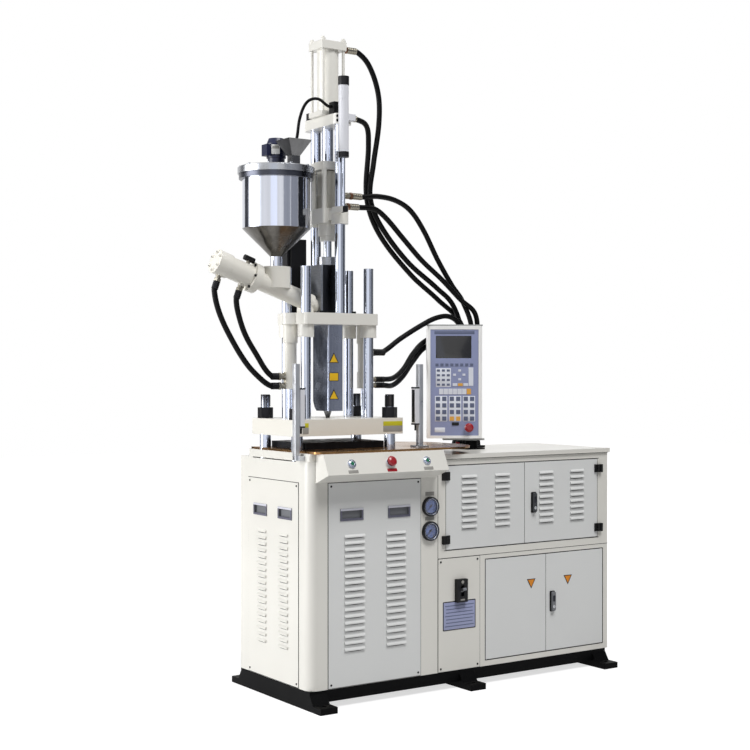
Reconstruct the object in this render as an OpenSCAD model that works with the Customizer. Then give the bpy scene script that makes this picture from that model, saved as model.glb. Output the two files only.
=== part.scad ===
// Vertical injection moulding machine with a mixing hopper, a ram feeder and a power cabinet.
// Origin: the middle of the anchor holes, on the floor. +X to the right, +Y to the back, +Z up.

/* [Skid] */
// Length of the skid
skid_l = 1498; // [1440:1:1560]
// Height of the skid
skid_h = 72; // [60:1:90]
// Width of a cross foot
foot_w = 75; // [60:1:90]
// How far a foot reaches out past the cabinet
foot_reach = 78; // [70:1:100]
// Thickness of the toe of a foot
toe_h = 24; // [16:1:30]
// Width of a long beam
beam_w = 60; // [40:1:80]
// Height of the long beams over the floor
beam_lift = 26; // [15:1:40]
// Thickness of the deck sheet
deck_t = 6; // [4:1:10]
// Anchor hole diameter
anchor_d = 18; // [12:1:22]

/* [Press cabinet] */
// Width of the press cabinet
press_w = 510; // [490:1:540]
// Depth of the press cabinet
press_d = 531; // [510:1:560]
// Height of the press cabinet
cab_h = 859; // [820:1:900]
// Width of the gauge column beside the press
gauge_w = 85; // [80:1:100]
// Radius of the front left corner
corner_r = 40; // [20:1:60]
// Thickness of the cabinet sheet
sheet = 3; // [2:0.5:5]
// Press axis, from the left face
press_axis = 247; // [240:1:256]
// Thickness of covers and doors
cover_t = 2; // [1.5:0.5:3]
// Width of the front cover
front_w = 428; // [400:1:440]
// Width of the side cover
side_w = 385; // [360:1:400]
// Height of both covers
cover_h = 773; // [740:1:776]

/* [Power cabinet] */
// Width of the power cabinet
power_w = 916; // [890:1:940]
// Depth of the power cabinet
power_d = 490; // [460:1:510]
// Height of the lower compartment
lower_h = 453; // [440:1:470]
// Height of the upper compartment
upper_h = 395; // [385:1:410]
// Thickness of the roof tray
roof_t = 18; // [12:1:24]
// Overhang of the roof
roof_over = 8; // [4:1:12]
// Width of the breaker panel
breaker_w = 211; // [200:1:225]
// Width of the frame left of the upper doors
upper_stile_l = 39; // [30:1:60]
// Width of the frame right of the upper doors
upper_stile_r = 57; // [30:1:80]
// Height of an upper door
upper_door_h = 334; // [320:1:340]
// Width of the frame left of the lower doors
lower_stile_l = 30; // [20:1:50]
// Width of the frame right of the lower doors
lower_stile_r = 27; // [20:1:50]
// Height of a lower door
lower_door_h = 406; // [396:1:410]
// Depth of the folded edge of a door
door_fold = 16; // [12:1:20]

/* [Louvres] */
// Pitch of the louvre rows
louvre_pitch = 25.3; // [24:0.1:27]
// Height of a louvre
louvre_h = 13; // [10:1:16]
// How far a louvre stands out
louvre_out = 6; // [4:0.5:8]
// Rows of louvres on the press covers
cover_rows = 18; // [12:1:20]
// Rows of louvres on an upper door
door_rows = 9; // [6:1:9]

/* [Table and platen] */
// Thickness of the bolster
bolster_t = 30; // [24:1:40]
// Depth of the bolster
bolster_d = 462; // [440:1:480]
// Thickness of the polished table top
table_t = 8; // [6:1:12]
// Thickness of the lower mould plate
mould_t = 25; // [20:1:32]
// Opening between the table and the platen at rest
daylight = 53; // [45:1:70]
// Width of the platen
platen_w = 513; // [505:1:530]
// Depth of the platen
platen_d = 324; // [316:1:340]
// Thickness of the platen
platen_t = 63; // [55:1:75]
// Clamp bar diameter
clamp_d = 45; // [40:1:48]
// Clamp bar spacing, left to right
clamp_px = 431; // [425:1:440]
// Clamp bar spacing, front to back
clamp_py = 244; // [236:1:250]
// Diameter of the threaded end of a clamp bar
stud_d = 36; // [30:1:38]
// Travel of the clamp
clamp_travel = 250; // [200:5:260]

/* [Injection unit] */
// Guide bar diameter of the carriage
guide_d = 40; // [34:1:42]
// Guide bar spacing, left to right
guide_px = 292; // [288:1:300]
// Guide bar spacing, front to back
guide_py = 146; // [140:1:150]
// Length of the guide bars over the platen
guide_l = 594; // [580:1:620]
// Spacing of the lift cylinders
lift_px = 346; // [344:1:360]
// Lift rod diameter
lift_d = 24; // [18:1:26]
// Height of the nozzle guard
guard_h = 340; // [330:1:352]
// Gap between the nozzle guard and the platen at rest
guard_gap = 28; // [20:1:40]
// Thickness of the carriage plate
carriage_t = 45; // [40:1:50]
// Travel of the carriage
carriage_travel = 140; // [100:5:145]
// Height of the feed block
feed_h = 192; // [185:1:200]
// Screw shaft shown over the barrel
screw_show = 97; // [92:1:105]
// Injection bar diameter
inj_d = 42; // [38:1:44]
// Injection bar spacing
inj_py = 180; // [176:1:190]
// Height of the bearing housing
bearing_h = 60; // [50:1:70]
// Height of the injection plate bosses
boss_h = 67; // [60:1:75]
// Height of the motor cage
cage_h = 153; // [150:1:170]
// Thickness of the cage top
cage_t = 32; // [24:1:38]
// Ram rod shown over the cage
ram_show = 137; // [125:1:150]
// Ram rod diameter
ram_d = 46; // [40:1:48]
// Thickness of the cylinder plate
cyl_plate_t = 41; // [35:1:50]
// Length of the injection cylinder
inj_cyl_l = 266; // [260:1:290]
// Diameter of the injection cylinder
inj_cyl_d = 86; // [80:1:88]
// Thickness of the cylinder head
head_t = 32; // [26:1:40]
// Screw diameter
screw_d = 32; // [28:1:35]

/* [Hopper and feeder] */
// Hopper axis, from the press axis
hopper_x = -236; // [-245:1:-230]
// Hopper diameter
hopper_d = 264; // [240:1:280]
// Height of the straight hopper wall
hopper_h = 191; // [170:1:210]
// Height of the hopper cone
cone_h = 108; // [95:1:125]
// Diameter of the hopper neck
neck_d = 47; // [40:1:52]
// Tilt of the feeder
feeder_tilt = 19.5; // [18:0.5:20]
// Diameter of the feeder tube
feeder_d = 71; // [66:1:74]
// Diameter of the feeder ram
feeder_ram_d = 50; // [44:1:52]

/* [Controls] */
// Width of the control box
box_w = 235; // [220:1:250]
// Height of the control box
box_h = 478; // [460:1:490]
// Depth of the control box
box_d = 86; // [70:1:90]
// Turn of the control box at rest
box_turn = -34; // [-40:1:-28]
// Gauge bezel diameter
gauge_d = 77; // [70:1:79]
// Button cap diameter
button_d = 24; // [20:1:25]
// Button travel
button_travel = 4; // [3:0.5:5]

/* [Fits] */
// Running clearance of sliding and turning pieces
run_gap = 0.3; // [0.2:0.05:0.5]
// Clearance of bolted and seated pieces
seat_gap = 0.2; // [0.1:0.05:0.3]
// Gap round a door
door_gap = 2; // [1.5:0.5:3]

/* [Hidden] */
$fn = 48;
e = 1;

// Levels, from the floor up
z_cab = skid_h + cab_h;
z_bolster = z_cab + bolster_t;
z_table = z_bolster + table_t;
z_platen = z_table + daylight;
z_deck = z_platen + platen_t;
z_car = z_deck + guard_gap + guard_h;
z_cart = z_car + carriage_t;
z_feed = z_cart + feed_h;
z_bearing = z_feed + screw_show;
z_inj = z_bearing + bearing_h;
z_injt = z_inj + boss_h;
z_cage = z_injt + cage_h;
z_caget = z_cage + cage_t;
z_cyl = z_caget + ram_show;
z_cylt = z_cyl + cyl_plate_t;
z_head = z_cylt + inj_cyl_l;
z_headt = z_head + head_t;
z_lower = skid_h + lower_h;
z_roof = z_lower + upper_h;
z_rooft = z_roof + roof_t;

// Plan places
xl = -skid_l / 2;
yf = -press_d / 2;
px = xl + press_axis;
cx = xl + press_w + gauge_w;
cr = cx + power_w;
yb = yf + power_d;
foot_xs = [xl + foot_w / 2, -9, -xl - foot_w / 2];
anchor_y = press_d / 2 + foot_reach - 33;

// Shared shapes

// Four copies on a rectangle
module four(dx, dy) {
    for (sx = [-1, 1], sy = [-1, 1]) translate([sx * dx / 2, sy * dy / 2, 0]) children();
}

// Two copies along one direction
module both_x(d) {
    for (s = [-1, 1]) translate([s * d / 2, 0, 0]) children();
}

module both_y(d) {
    for (s = [-1, 1]) translate([0, s * d / 2, 0]) children();
}

// Round bar standing at a level
module bar(d, z0, z1) {
    translate([0, 0, z0]) cylinder(d = d, h = z1 - z0);
}

// Flat outline with round corners, centred
module round_flat(w, d, r) {
    square([w - 2 * r, d], center = true);
    square([w, d - 2 * r], center = true);
    for (sx = [-1, 1], sy = [-1, 1]) translate([sx * (w / 2 - r), sy * (d / 2 - r)]) circle(r);
}

// Plate with round upright corners, centred in plan
module plate(w, d, z0, z1, r) {
    translate([0, 0, z0]) linear_extrude(z1 - z0) round_flat(w, d, r);
}

// Box between two corners
module box(a, b) {
    translate(a) cube(b - a);
}

// Outline in the Y and Z directions, drawn along X
module along_x(x0, x1) {
    translate([x0, 0, 0]) rotate([90, 0, 90]) linear_extrude(x1 - x0) children();
}

// Round piece that points along -Y from the origin
module to_front(d, l) {
    rotate([90, 0, 0]) cylinder(d = d, h = l);
}

// Press axis
module at_press() {
    translate([px, 0, 0]) children();
}

// Hopper axis
module at_hopper() {
    translate([px + hopper_x, 0, 0]) children();
}

// Skid

foot_half = press_d / 2 + foot_reach;
toe_l = 55;
slope_l = 30;

module foot_side() {
    polygon([for (p = [[1, 0], [1, toe_h], [1 - toe_l / foot_half, toe_h],
                       [1 - (toe_l + slope_l) / foot_half, skid_h],
                       [-1 + (toe_l + slope_l) / foot_half, skid_h], [-1 + toe_l / foot_half, toe_h],
                       [-1, toe_h], [-1, 0]]) [p[0] * foot_half, p[1]]]);
}

module skid() color("#1b1b1d") difference() {
    union() {
        for (x = foot_xs) along_x(x - foot_w / 2, x + foot_w / 2) foot_side();
        for (y = [yf, -yf - beam_w]) box([xl, y, beam_lift], [-xl, y + beam_w, skid_h]);
        box([xl, yf, skid_h - deck_t], [-xl, -yf, skid_h]);
    }
    for (x = foot_xs) translate([x, 0, 0]) both_y(2 * anchor_y) bar(anchor_d, -e, toe_h + e);
}

// Press cabinet and its covers

cover_z = skid_h + 3;
front_x = xl + press_w - front_w / 2;
side_y = 7;
lip = 14;
gauge_x = xl + press_w + gauge_w / 2 + 3;
gauge_zs = [z_cab - 195, z_cab - 292];
gauge_case_d = 60;

module press_outline(g) {
    r = corner_r - g;
    w = press_w + gauge_w - 2 * g;
    d = press_d - 2 * g;
    translate([xl + g, yf + g]) {
        translate([r, 0]) square([w - r, d]);
        translate([0, r]) square([w, d - r]);
        translate([r, r]) circle(r);
    }
}

module press_cabinet() color("#f1efe8") difference() {
    translate([0, 0, skid_h]) linear_extrude(cab_h) press_outline(0);
    translate([0, 0, skid_h - e]) linear_extrude(cab_h - sheet + e) press_outline(sheet);
    at_press() box([-clamp_px / 2 - clamp_d, -clamp_py / 2 - clamp_d, z_cab - sheet - e],
                   [clamp_px / 2 + clamp_d, clamp_py / 2 + clamp_d, z_cab + e]);
    box([front_x - front_w / 2 + lip, yf - e, cover_z + lip],
        [front_x + front_w / 2 - lip, yf + sheet + e, cover_z + cover_h - lip]);
    box([xl - e, side_y - side_w / 2 + lip, cover_z + lip],
        [xl + sheet + e, side_y + side_w / 2 - lip, cover_z + cover_h - lip]);
    for (z = gauge_zs) translate([gauge_x, yf + sheet + e, z])
        to_front(gauge_case_d + 2 * seat_gap, sheet + 2 * e);
}

louvre_wall = 1.2;
louvre_nose = 0.35 * louvre_h;

// Outer form of one pressed louvre, on a sheet whose back is at y = 0
module louvre(w) {
    out = cover_t + louvre_out;
    along_x(-w / 2, w / 2)
        polygon([[-cover_t / 2, louvre_h], [-out, louvre_nose], [-out, 0], [-cover_t / 2, 0]]);
}

// Hollow of the louvre, with its slot through the sheet
module louvre_slot(w) {
    out = cover_t + louvre_out - louvre_wall;
    top = louvre_h - 2.5 * louvre_wall;
    along_x(-w / 2 + louvre_wall, w / 2 - louvre_wall)
        polygon([[e, top], [-cover_t, top], [-out, louvre_nose - 0.4], [-out, -e], [e, -e]]);
}

// Two columns of louvres below a top level
module louvre_field(px, top, rows) {
    for (s = [-1, 1], i = [0:rows - 1])
        translate([s * px / 2, 0, top - i * louvre_pitch]) children();
}

pull_w = 105;
pull_h = 46;
pull_rim = 8;
pull_deep = 5;
pull_proud = 3;
pull_z = 651;

module pull() {
    box([-pull_w / 2, -cover_t - pull_proud, -pull_h / 2], [pull_w / 2, 0, pull_h / 2]);
    box([-pull_w / 2 + pull_rim - 2, -e, -pull_h / 2 + pull_rim - 2],
        [pull_w / 2 - pull_rim + 2, pull_deep + 2, pull_h / 2 - pull_rim + 2]);
}

module pull_pocket() {
    box([-pull_w / 2 + pull_rim, -cover_t - pull_proud - e, -pull_h / 2 + pull_rim],
        [pull_w / 2 - pull_rim, pull_deep, pull_h / 2 - pull_rim]);
}

// Louvred cover, seen from its front, from the middle of its lower edge
module louvred_cover(w, louvre_w, louvre_px, pull_px) difference() {
    top = 563;
    union() {
        box([-w / 2, -cover_t, 0], [w / 2, 0, cover_h]);
        louvre_field(louvre_px, top, cover_rows) louvre(louvre_w);
        translate([0, 0, pull_z]) both_x(pull_px) pull();
    }
    louvre_field(louvre_px, top, cover_rows) louvre_slot(louvre_w);
    translate([0, 0, pull_z]) both_x(pull_px) pull_pocket();
}

module front_panel() color("#e9e8e3")
    translate([front_x, yf, cover_z]) louvred_cover(front_w, 92, 193, 220);

module side_panel() color("#f4f3ee")
    translate([xl, side_y, cover_z]) rotate([0, 0, -90]) louvred_cover(side_w, 70, 167, 191);

// Hinges and doors of the power cabinet

hinge_h = 34;
hinge_leaf = 19;
knuckle_r = 6;
hinge_pin_d = 5;
hinge_out = 8;
knuckle_h = 11;

// Half of a hinge on the frame, with its pin, the door lies toward +X
module hinge_fixed() {
    box([-hinge_leaf, -knuckle_r, -hinge_h / 2], [-knuckle_r - 1, hinge_out, hinge_h / 2]);
    box([-knuckle_r - 2, -3, -knuckle_h / 2], [0, 3, knuckle_h / 2]);
    bar(2 * knuckle_r, -knuckle_h / 2, knuckle_h / 2);
    bar(hinge_pin_d, -hinge_h / 2, hinge_h / 2);
}

// Half of a hinge on the door
module hinge_moving() difference() {
    union() for (s = [0, 1]) mirror([0, 0, s]) {
        bar(2 * knuckle_r, knuckle_h / 2 + run_gap, hinge_h / 2);
        box([0, -3, knuckle_h / 2 + run_gap], [knuckle_r + 3, hinge_out, hinge_h / 2]);
        box([knuckle_r + 1, hinge_out - 6, 0], [hinge_leaf, hinge_out, hinge_h / 2]);
    }
    bar(hinge_pin_d + 2 * run_gap, -hinge_h, hinge_h);
    box([-2 * knuckle_r, hinge_out - run_gap, -hinge_h], [door_gap, 2 * hinge_out, hinge_h]);
}

// Hidden pivot of a lower door: a pin on a block behind the frame, over the top left corner of the door
pivot_in = 7;
pivot_back = 5;
pivot_d = 5;
pivot_block = 12;

module pivot_fixed() translate([pivot_in, pivot_back, 0]) {
    box([-pivot_in - door_gap, sheet - pivot_back - e, door_gap], [pivot_block, pivot_block, door_gap + pivot_block]);
    bar(pivot_d, -2 * cover_t, door_gap + e);
}

module pivot_bore() translate([pivot_in, pivot_back, 0]) bar(pivot_d + 2 * run_gap, -2 * cover_t - 1, e);

// Sheet tray of a door, from its lower left corner
module door_tray(w, h) difference() {
    cube([w, door_fold, h]);
    translate([cover_t, cover_t, cover_t]) cube([w - 2 * cover_t, door_fold, h - 2 * cover_t]);
}

upper_x = cx + upper_stile_l;
upper_z = z_lower + 33;
upper_open_w = power_w - upper_stile_l - upper_stile_r;
upper_door_w = (upper_open_w - 3 * door_gap) / 2;
lower_x = cx + breaker_w + lower_stile_l;
lower_z = skid_h + 26;
lower_open_w = power_w - breaker_w - lower_stile_l - lower_stile_r;
lower_door_w = (lower_open_w - 3 * door_gap) / 2;
hinge_zs = [0.12, 0.88];

module upper_hinges() for (f = hinge_zs) translate([0, 0, f * upper_door_h]) children();
module lower_pivots() {
    translate([0, 0, lower_door_h]) children();
    mirror([0, 0, 1]) children();
}

// Left and right edges of the doors
module upper_left_line() translate([upper_x, yf - hinge_out, upper_z]) children();
module upper_right_line()
    translate([upper_x + upper_open_w, yf - hinge_out, upper_z]) mirror([1, 0, 0]) children();
module lower_left_line() translate([lower_x + door_gap, yf, lower_z]) children();
module lower_right_line()
    translate([lower_x + lower_open_w - door_gap, yf, lower_z]) mirror([1, 0, 0]) children();

latch_w = 23;
latch_h = 80;
latch_pivot = 26;
latch_shaft_d = 8;
latch_t = 9;
upper_latch_at = [upper_door_w - 47, 166];
lower_latch_at = [lower_door_w - 34, 205];

// Back plate of a latch, on the face of a door
module latch_plate() {
    rotate([90, 0, 0]) linear_extrude(3) round_flat(latch_w + 4, latch_h + 6, 5);
}

module latch_bore() {
    translate([0, door_fold, latch_pivot]) to_front(latch_shaft_d + 2 * run_gap, 2 * door_fold);
}

module latch_lever() {
    translate([0, -5, 0]) rotate([90, 0, 0]) linear_extrude(latch_t) round_flat(latch_w - 4, latch_h, 7);
    translate([0, 0, latch_pivot]) {
        translate([0, 12, 0]) to_front(latch_shaft_d, 18);
        translate([0, 12, 0]) to_front(14, 5);
    }
}

module upper_door(latched) difference() {
    union() {
        difference() {
            union() {
                translate([door_gap, hinge_out, 0]) door_tray(upper_door_w, upper_door_h);
                translate([door_gap + upper_door_w / 2, hinge_out + cover_t, 0])
                    louvre_field(172, 283, door_rows) louvre(78);
            }
            translate([door_gap + upper_door_w / 2, hinge_out + cover_t, 0])
                louvre_field(172, 283, door_rows) louvre_slot(78);
        }
        upper_hinges() hinge_moving();
        if (latched) translate([upper_latch_at[0] + door_gap, hinge_out, upper_latch_at[1]]) latch_plate();
    }
    if (latched) translate([upper_latch_at[0] + door_gap, hinge_out, upper_latch_at[1]]) latch_bore();
}

module lower_door(latched) difference() {
    union() {
        door_tray(lower_door_w, lower_door_h);
        if (latched) translate([lower_latch_at[0], 0, lower_latch_at[1]]) latch_plate();
    }
    lower_pivots() pivot_bore();
    if (latched) translate([lower_latch_at[0], 0, lower_latch_at[1]]) latch_bore();
}

module upper_left_door() color("#e6e5e0") upper_left_line() upper_door(false);
module upper_right_door() color("#e6e5e0") upper_right_line() upper_door(true);
module lower_left_door() color("#eceae4") lower_left_line() lower_door(false);
module lower_right_door() color("#eceae4") lower_right_line() lower_door(true);

module upper_latch() color("#3a3b3d") upper_right_line()
    translate([upper_latch_at[0] + door_gap, hinge_out, upper_latch_at[1]]) latch_lever();

module lower_latch() color("#77797c") lower_right_line()
    translate([lower_latch_at[0], 0, lower_latch_at[1]]) latch_lever();

// Power cabinet

hose_x = cx + 438;
hose_y = yf + 380;
hose_plate_w = 150;
hose_plate_d = 90;

module upper_cabinet() color("#efede6") {
    difference() {
        union() {
            box([cx, yf, z_lower], [cr, yb, z_roof]);
            box([cx + e, yf - roof_over, z_roof], [cr + roof_over, yb + roof_over, z_rooft]);
        }
        box([cx + sheet, yf + sheet, z_lower + sheet], [cr - sheet, yb - sheet, z_rooft - sheet]);
        box([upper_x, yf - e, upper_z - door_gap],
            [upper_x + upper_open_w, yf + sheet + e, upper_z + upper_door_h + door_gap]);
        translate([hose_x, hose_y, 0]) box([-hose_plate_w / 2 + 15, -hose_plate_d / 2 + 15, z_roof],
                                           [hose_plate_w / 2 - 15, hose_plate_d / 2 - 15, z_rooft + e]);
    }
    upper_left_line() upper_hinges() hinge_fixed();
    upper_right_line() upper_hinges() hinge_fixed();
}

module lower_cabinet() color("#f0eee8") {
    difference() {
        box([cx, yf, skid_h], [cr, yb, z_lower]);
        box([cx + sheet, yf + sheet, skid_h + sheet], [cr - sheet, yb - sheet, z_lower - sheet]);
        box([cx + lip, yf - e, skid_h + 2 * lip], [cx + breaker_w - lip, yf + sheet + e, z_lower - lip]);
        box([lower_x, yf - e, lower_z - door_gap],
            [lower_x + lower_open_w, yf + sheet + e, lower_z + lower_door_h + door_gap]);
    }
    lower_left_line() lower_pivots() pivot_fixed();
    lower_right_line() lower_pivots() pivot_fixed();
}

breaker_x = cx + 110;
breaker_z = skid_h + 320;
breaker_out = 18;
lever_hub_d = 14;
lever_w = 16;
breaker_slot_d = breaker_out / 2 + lever_hub_d / 2 + run_gap;

module breaker_panel() color("#eceae4") translate([0, yf, 0]) difference() {
    union() {
        box([cx + door_gap, -cover_t, skid_h + door_gap], [cx + breaker_w, 0, z_lower - door_gap]);
        translate([breaker_x, -cover_t, breaker_z]) {
            box([-26.5, -breaker_out, -46], [26.5, 60, 46]);
        }
    }
    translate([breaker_x, -cover_t, breaker_z])
        box([-lever_w / 2 - run_gap, -breaker_out - e, -22], [lever_w / 2 + run_gap, -breaker_out + breaker_slot_d, 22]);
}

module breaker_lever() color("#b9bcc0") translate([breaker_x, yf - cover_t - breaker_out / 2, breaker_z]) {
    rotate([0, 90, 0]) translate([0, 0, -lever_w / 2]) cylinder(d = lever_hub_d, h = lever_w);
    rotate([-20, 0, 0]) box([-lever_w / 2, -26, -5], [lever_w / 2, 0, 5]);
}

// Pump set on the floor of the upper compartment
pump_side = 356;
pump_in = 265;

module pump_motor() color("#4a5a70") translate([cr - pump_side, yf + pump_in, z_lower + sheet]) {
    axle = 130;
    for (x = [-90, 70]) box([x, -90, 0], [x + 30, 90, axle - 60]);
    translate([0, 0, axle]) rotate([0, 90, 0]) {
        translate([0, 0, -150]) cylinder(d = 200, h = 290);
        for (i = [0:5]) translate([0, 0, -130 + 44 * i]) cylinder(d = 214, h = 8);
        translate([0, 0, 140]) cylinder(d = 150, h = 70);
        translate([0, 0, -190]) cylinder(d = 190, h = 40);
    }
    translate([210, 0, axle]) box([0, -55, -55], [90, 55, 55]);
    box([-60, -50, axle + 80], [50, 50, axle + 140]);
}

// Switchgear on a back plate in the lower compartment
gear_left = 300;
gear_right = 76;
gear_w = power_w - gear_left - gear_right;
gear_rim = 20;
gear_plate_t = 12;
gear_pitch = 68;
gear_n = floor((gear_w - 3 * gear_rim) / gear_pitch);

module control_gear() color("#8f979c") translate([cx + gear_left, yb - sheet, skid_h + sheet]) {
    box([0, -gear_plate_t, 30], [gear_w, 0, 390]);
    for (r = [0:2]) translate([gear_rim, -gear_plate_t, 70 + 110 * r]) {
        box([0, -8, 10], [gear_w - 2 * gear_rim, 0, 45]);
        for (i = [0:gear_n - 1]) translate([gear_rim / 2 + gear_pitch * i, -72, 0]) cube([52, 66, 62]);
    }
}

// Plate on the roof where the hoses go down into the cabinet
hose_plate_t = 8;
collar_h = 14;
hose_d = 22;
hose_cols = [for (j = [0:1], i = [0:3 - j]) [-48 + 32 * i, -16 + 32 * j]];

module hose_manifold() color("#2a2b2d") translate([hose_x, hose_y, 0]) difference() {
    union() {
        plate(hose_plate_w, hose_plate_d, z_rooft, z_rooft + hose_plate_t, 10);
        for (p = hose_cols) translate(p) bar(hose_d + 8, z_rooft, z_rooft + hose_plate_t + collar_h);
    }
    for (p = hose_cols) translate(p) bar(hose_d - 6, z_rooft - e, z_rooft + hose_plate_t + collar_h + e);
}

// Table

table_front = 36;
table_left = 10;
table_r = 180;
table_corner = 25;
table_reach = 820;
mould_w = 370;
mould_d = 260;
mould_bolt_d = 13.5;
mould_bolt_px = 280;
mould_bolt_py = 180;
clamp_bore = clamp_d + 2 * run_gap;

module bolster() color("#efece2") difference() {
    box([xl, yf, z_cab], [xl + press_w, yf + bolster_d, z_bolster]);
    at_press() four(clamp_px, clamp_py) bar(clamp_bore, z_cab - e, z_bolster + e);
}

module table_outline() {
    w = table_reach - table_left;
    d = bolster_d + table_front;
    translate([xl + table_left, yf - table_front]) {
        translate([table_corner, 0]) square([w - table_corner - table_r, d]);
        translate([0, table_corner]) square([w - table_r, d - table_corner]);
        translate([table_corner, table_corner]) circle(table_corner);
        translate([w / 2, table_r]) square([w / 2, d - 2 * table_r]);
        for (y = [table_r, d - table_r]) translate([w - table_r, y]) circle(table_r, $fn = 96);
    }
}

module table_top() color("#8a6a45") difference() {
    translate([0, 0, z_bolster]) linear_extrude(table_t) table_outline();
    at_press() four(clamp_px, clamp_py) bar(clamp_bore, z_bolster - e, z_table + e);
}

module lower_mould_plate() color("#232426") at_press() difference() {
    plate(mould_w, mould_d, z_table, z_table + mould_t, 8);
    four(mould_bolt_px, mould_bolt_py) bar(mould_bolt_d, z_table - e, z_table + mould_t + e);
}

// Console with the buttons, a folded sheet under the front edge of the table

fascia_top = 54;
fascia_out = 90;
fascia_h = 76;
fascia_drop = 111;
fascia_sheet = 2.5;
fascia_x0 = xl + 27;
fascia_x1 = xl + 584;
fascia_tilt = atan2(fascia_out - fascia_top, fascia_h);
button_xs = [xl + 140, xl + 316, xl + 488];
bezel_d = 34;
barrel_d = button_d + 6;
barrel_l = 22;
bezel_h = 5;

module at_fascia(x) {
    translate([x, yf - (fascia_top + fascia_out) / 2, z_bolster - fascia_h / 2])
        rotate([-fascia_tilt, 0, 0]) children();
}

module fascia_side() {
    polygon([[-fascia_top, 0], [-fascia_out, -fascia_h], [0, -fascia_drop], [0, 0]]);
}

module fascia_inside() {
    t = fascia_sheet;
    polygon([[-fascia_top + 1.1 * t, -t], [-fascia_out + 1.25 * t, -fascia_h + 0.6 * t],
             [e, -fascia_drop + t], [e, -t]]);
}

module control_fascia() color("#ece9de") difference() {
    union() {
        difference() {
            translate([0, yf, z_bolster]) along_x(fascia_x0, fascia_x1) fascia_side();
            translate([0, yf, z_bolster])
                along_x(fascia_x0 + fascia_sheet, fascia_x1 - fascia_sheet) fascia_inside();
        }
        for (x = button_xs) at_fascia(x) {
            to_front(bezel_d, bezel_h);
            translate([0, barrel_l, 0]) to_front(barrel_d, barrel_l);
        }
    }
    for (x = button_xs) at_fascia(x)
        translate([0, barrel_l - 2, 0]) to_front(button_d + 2 * run_gap, barrel_l + bezel_h + e);
}

button_back = barrel_l - 2 - button_travel - 1;
button_out = bezel_h + 3;
mushroom_d = 40;

module push_button(x) at_fascia(x) translate([0, button_back, 0]) to_front(button_d, button_back + button_out);

module start_button_left() color("#1f9d55") push_button(button_xs[0]);
module start_button_right() color("#1f9d55") push_button(button_xs[2]);

module mushroom(d, stem_d, back, seat) {
    translate([0, back, 0]) to_front(stem_d, back + seat);
    rotate([90, 0, 0]) rotate_extrude()
        polygon([[0, seat], [d / 2 - 4, seat], [d / 2, seat + 4], [d / 2, seat + 7],
                 [d / 2 - 4, seat + 11], [d / 4, seat + 13], [0, seat + 13.5]]);
}

module stop_button() color("#c8202c") at_fascia(button_xs[1])
    mushroom(mushroom_d, button_d, button_back, bezel_h + button_travel + 1);

// Gauges

gauge_out = 12;
dial_deep = 8;
dial_d = gauge_d - 12;
spindle_d = 4;

module gauge() difference() {
    union() {
        to_front(gauge_d, gauge_out);
        translate([0, 40, 0]) to_front(gauge_case_d, 40);
    }
    translate([0, dial_deep - gauge_out, 0]) to_front(dial_d, gauge_out);
    translate([0, 10, 0]) to_front(spindle_d + 2 * run_gap, 2 * gauge_out);
}

module pressure_gauges() color("#c9ccd0") for (z = gauge_zs) translate([gauge_x, yf, z]) gauge();

module needle(z) translate([gauge_x, yf, z]) {
    face = dial_deep - gauge_out;
    translate([0, 9, 0]) to_front(spindle_d, 9 - face + 2);
    translate([0, face - 1, 0]) to_front(9, 2);
    rotate([0, -45, 0]) translate([0, face - 2, 0])
        rotate([90, 0, 0]) linear_extrude(1) polygon([[-8, -1.5], [-dial_d / 2 + 6, 0], [-8, 1.5], [10, 2], [10, -2]]);
}

module upper_needle() color("#202124") needle(gauge_zs[0]);
module lower_needle() color("#202124") needle(gauge_zs[1]);

// Light curtain posts

post_w = 22;
post_h = 329;
post_y = yf + 60;
left_post = xl - 22;
right_post = xl + 550;
curtain_w = 20;
curtain_d = 28;
curtain_z = 88;
curtain_h = 151;

module curtain_bar() {
    plate(curtain_w, curtain_d, z_table + curtain_z, z_table + curtain_z + curtain_h, 3);
    bar(8, z_table + curtain_z - 22, z_table + curtain_z);
}

module light_curtains() color("#d9dbdd") {
    translate([left_post, post_y, 0]) {
        plate(post_w, post_w, z_bolster - 26, z_table + post_h, 3);
        box([0, -25, z_bolster - 26], [xl - left_post, 25, z_bolster - 8]);
        translate([(post_w + curtain_w) / 2, 0, 0]) curtain_bar();
    }
    translate([right_post, post_y, 0]) {
        plate(post_w, post_w, z_table, z_table + post_h, 3);
        plate(62, 50, z_table, z_table + 6, 6);
        translate([-(post_w + curtain_w) / 2, 0, 0]) curtain_bar();
    }
}

// Clamp under the table

clamp_cyl_l = 331;
clamp_cyl_d = 170;
clamp_piston_d = 130;
clamp_rod_d = 80;
clamp_cap = 15;
z_gland = z_cab - clamp_cyl_l;
z_crosst = z_gland - clamp_travel - 20;
cross_t = 60;
z_cross = z_crosst - cross_t;

module clamp_cylinder() color("#5d646b") at_press() difference() {
    union() {
        bar(clamp_cyl_d, z_gland, z_cab);
        plate(clamp_cyl_d + 50, clamp_cyl_d + 20, z_cab - 25, z_cab, 12);
    }
    bar(clamp_piston_d + 2 * run_gap, z_gland + clamp_cap - 5, z_cab - clamp_cap);
    bar(clamp_rod_d + 2 * run_gap, z_gland - e, z_cab - clamp_cap - e);
}

module crosshead() color("#6b7178") at_press() {
    difference() {
        plate(clamp_px + clamp_d + 6, platen_d, z_cross, z_crosst, 20);
        four(clamp_px, clamp_py) bar(stud_d + 2 * seat_gap, z_cross - e, z_crosst + e);
    }
    bar(clamp_rod_d, z_crosst, z_gland + clamp_cap);
    bar(clamp_piston_d, z_gland + clamp_cap - 3, z_gland + clamp_cap + 32);
}

nut_af = 53;
nut_h = 42;
stud_show = 51;

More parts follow.
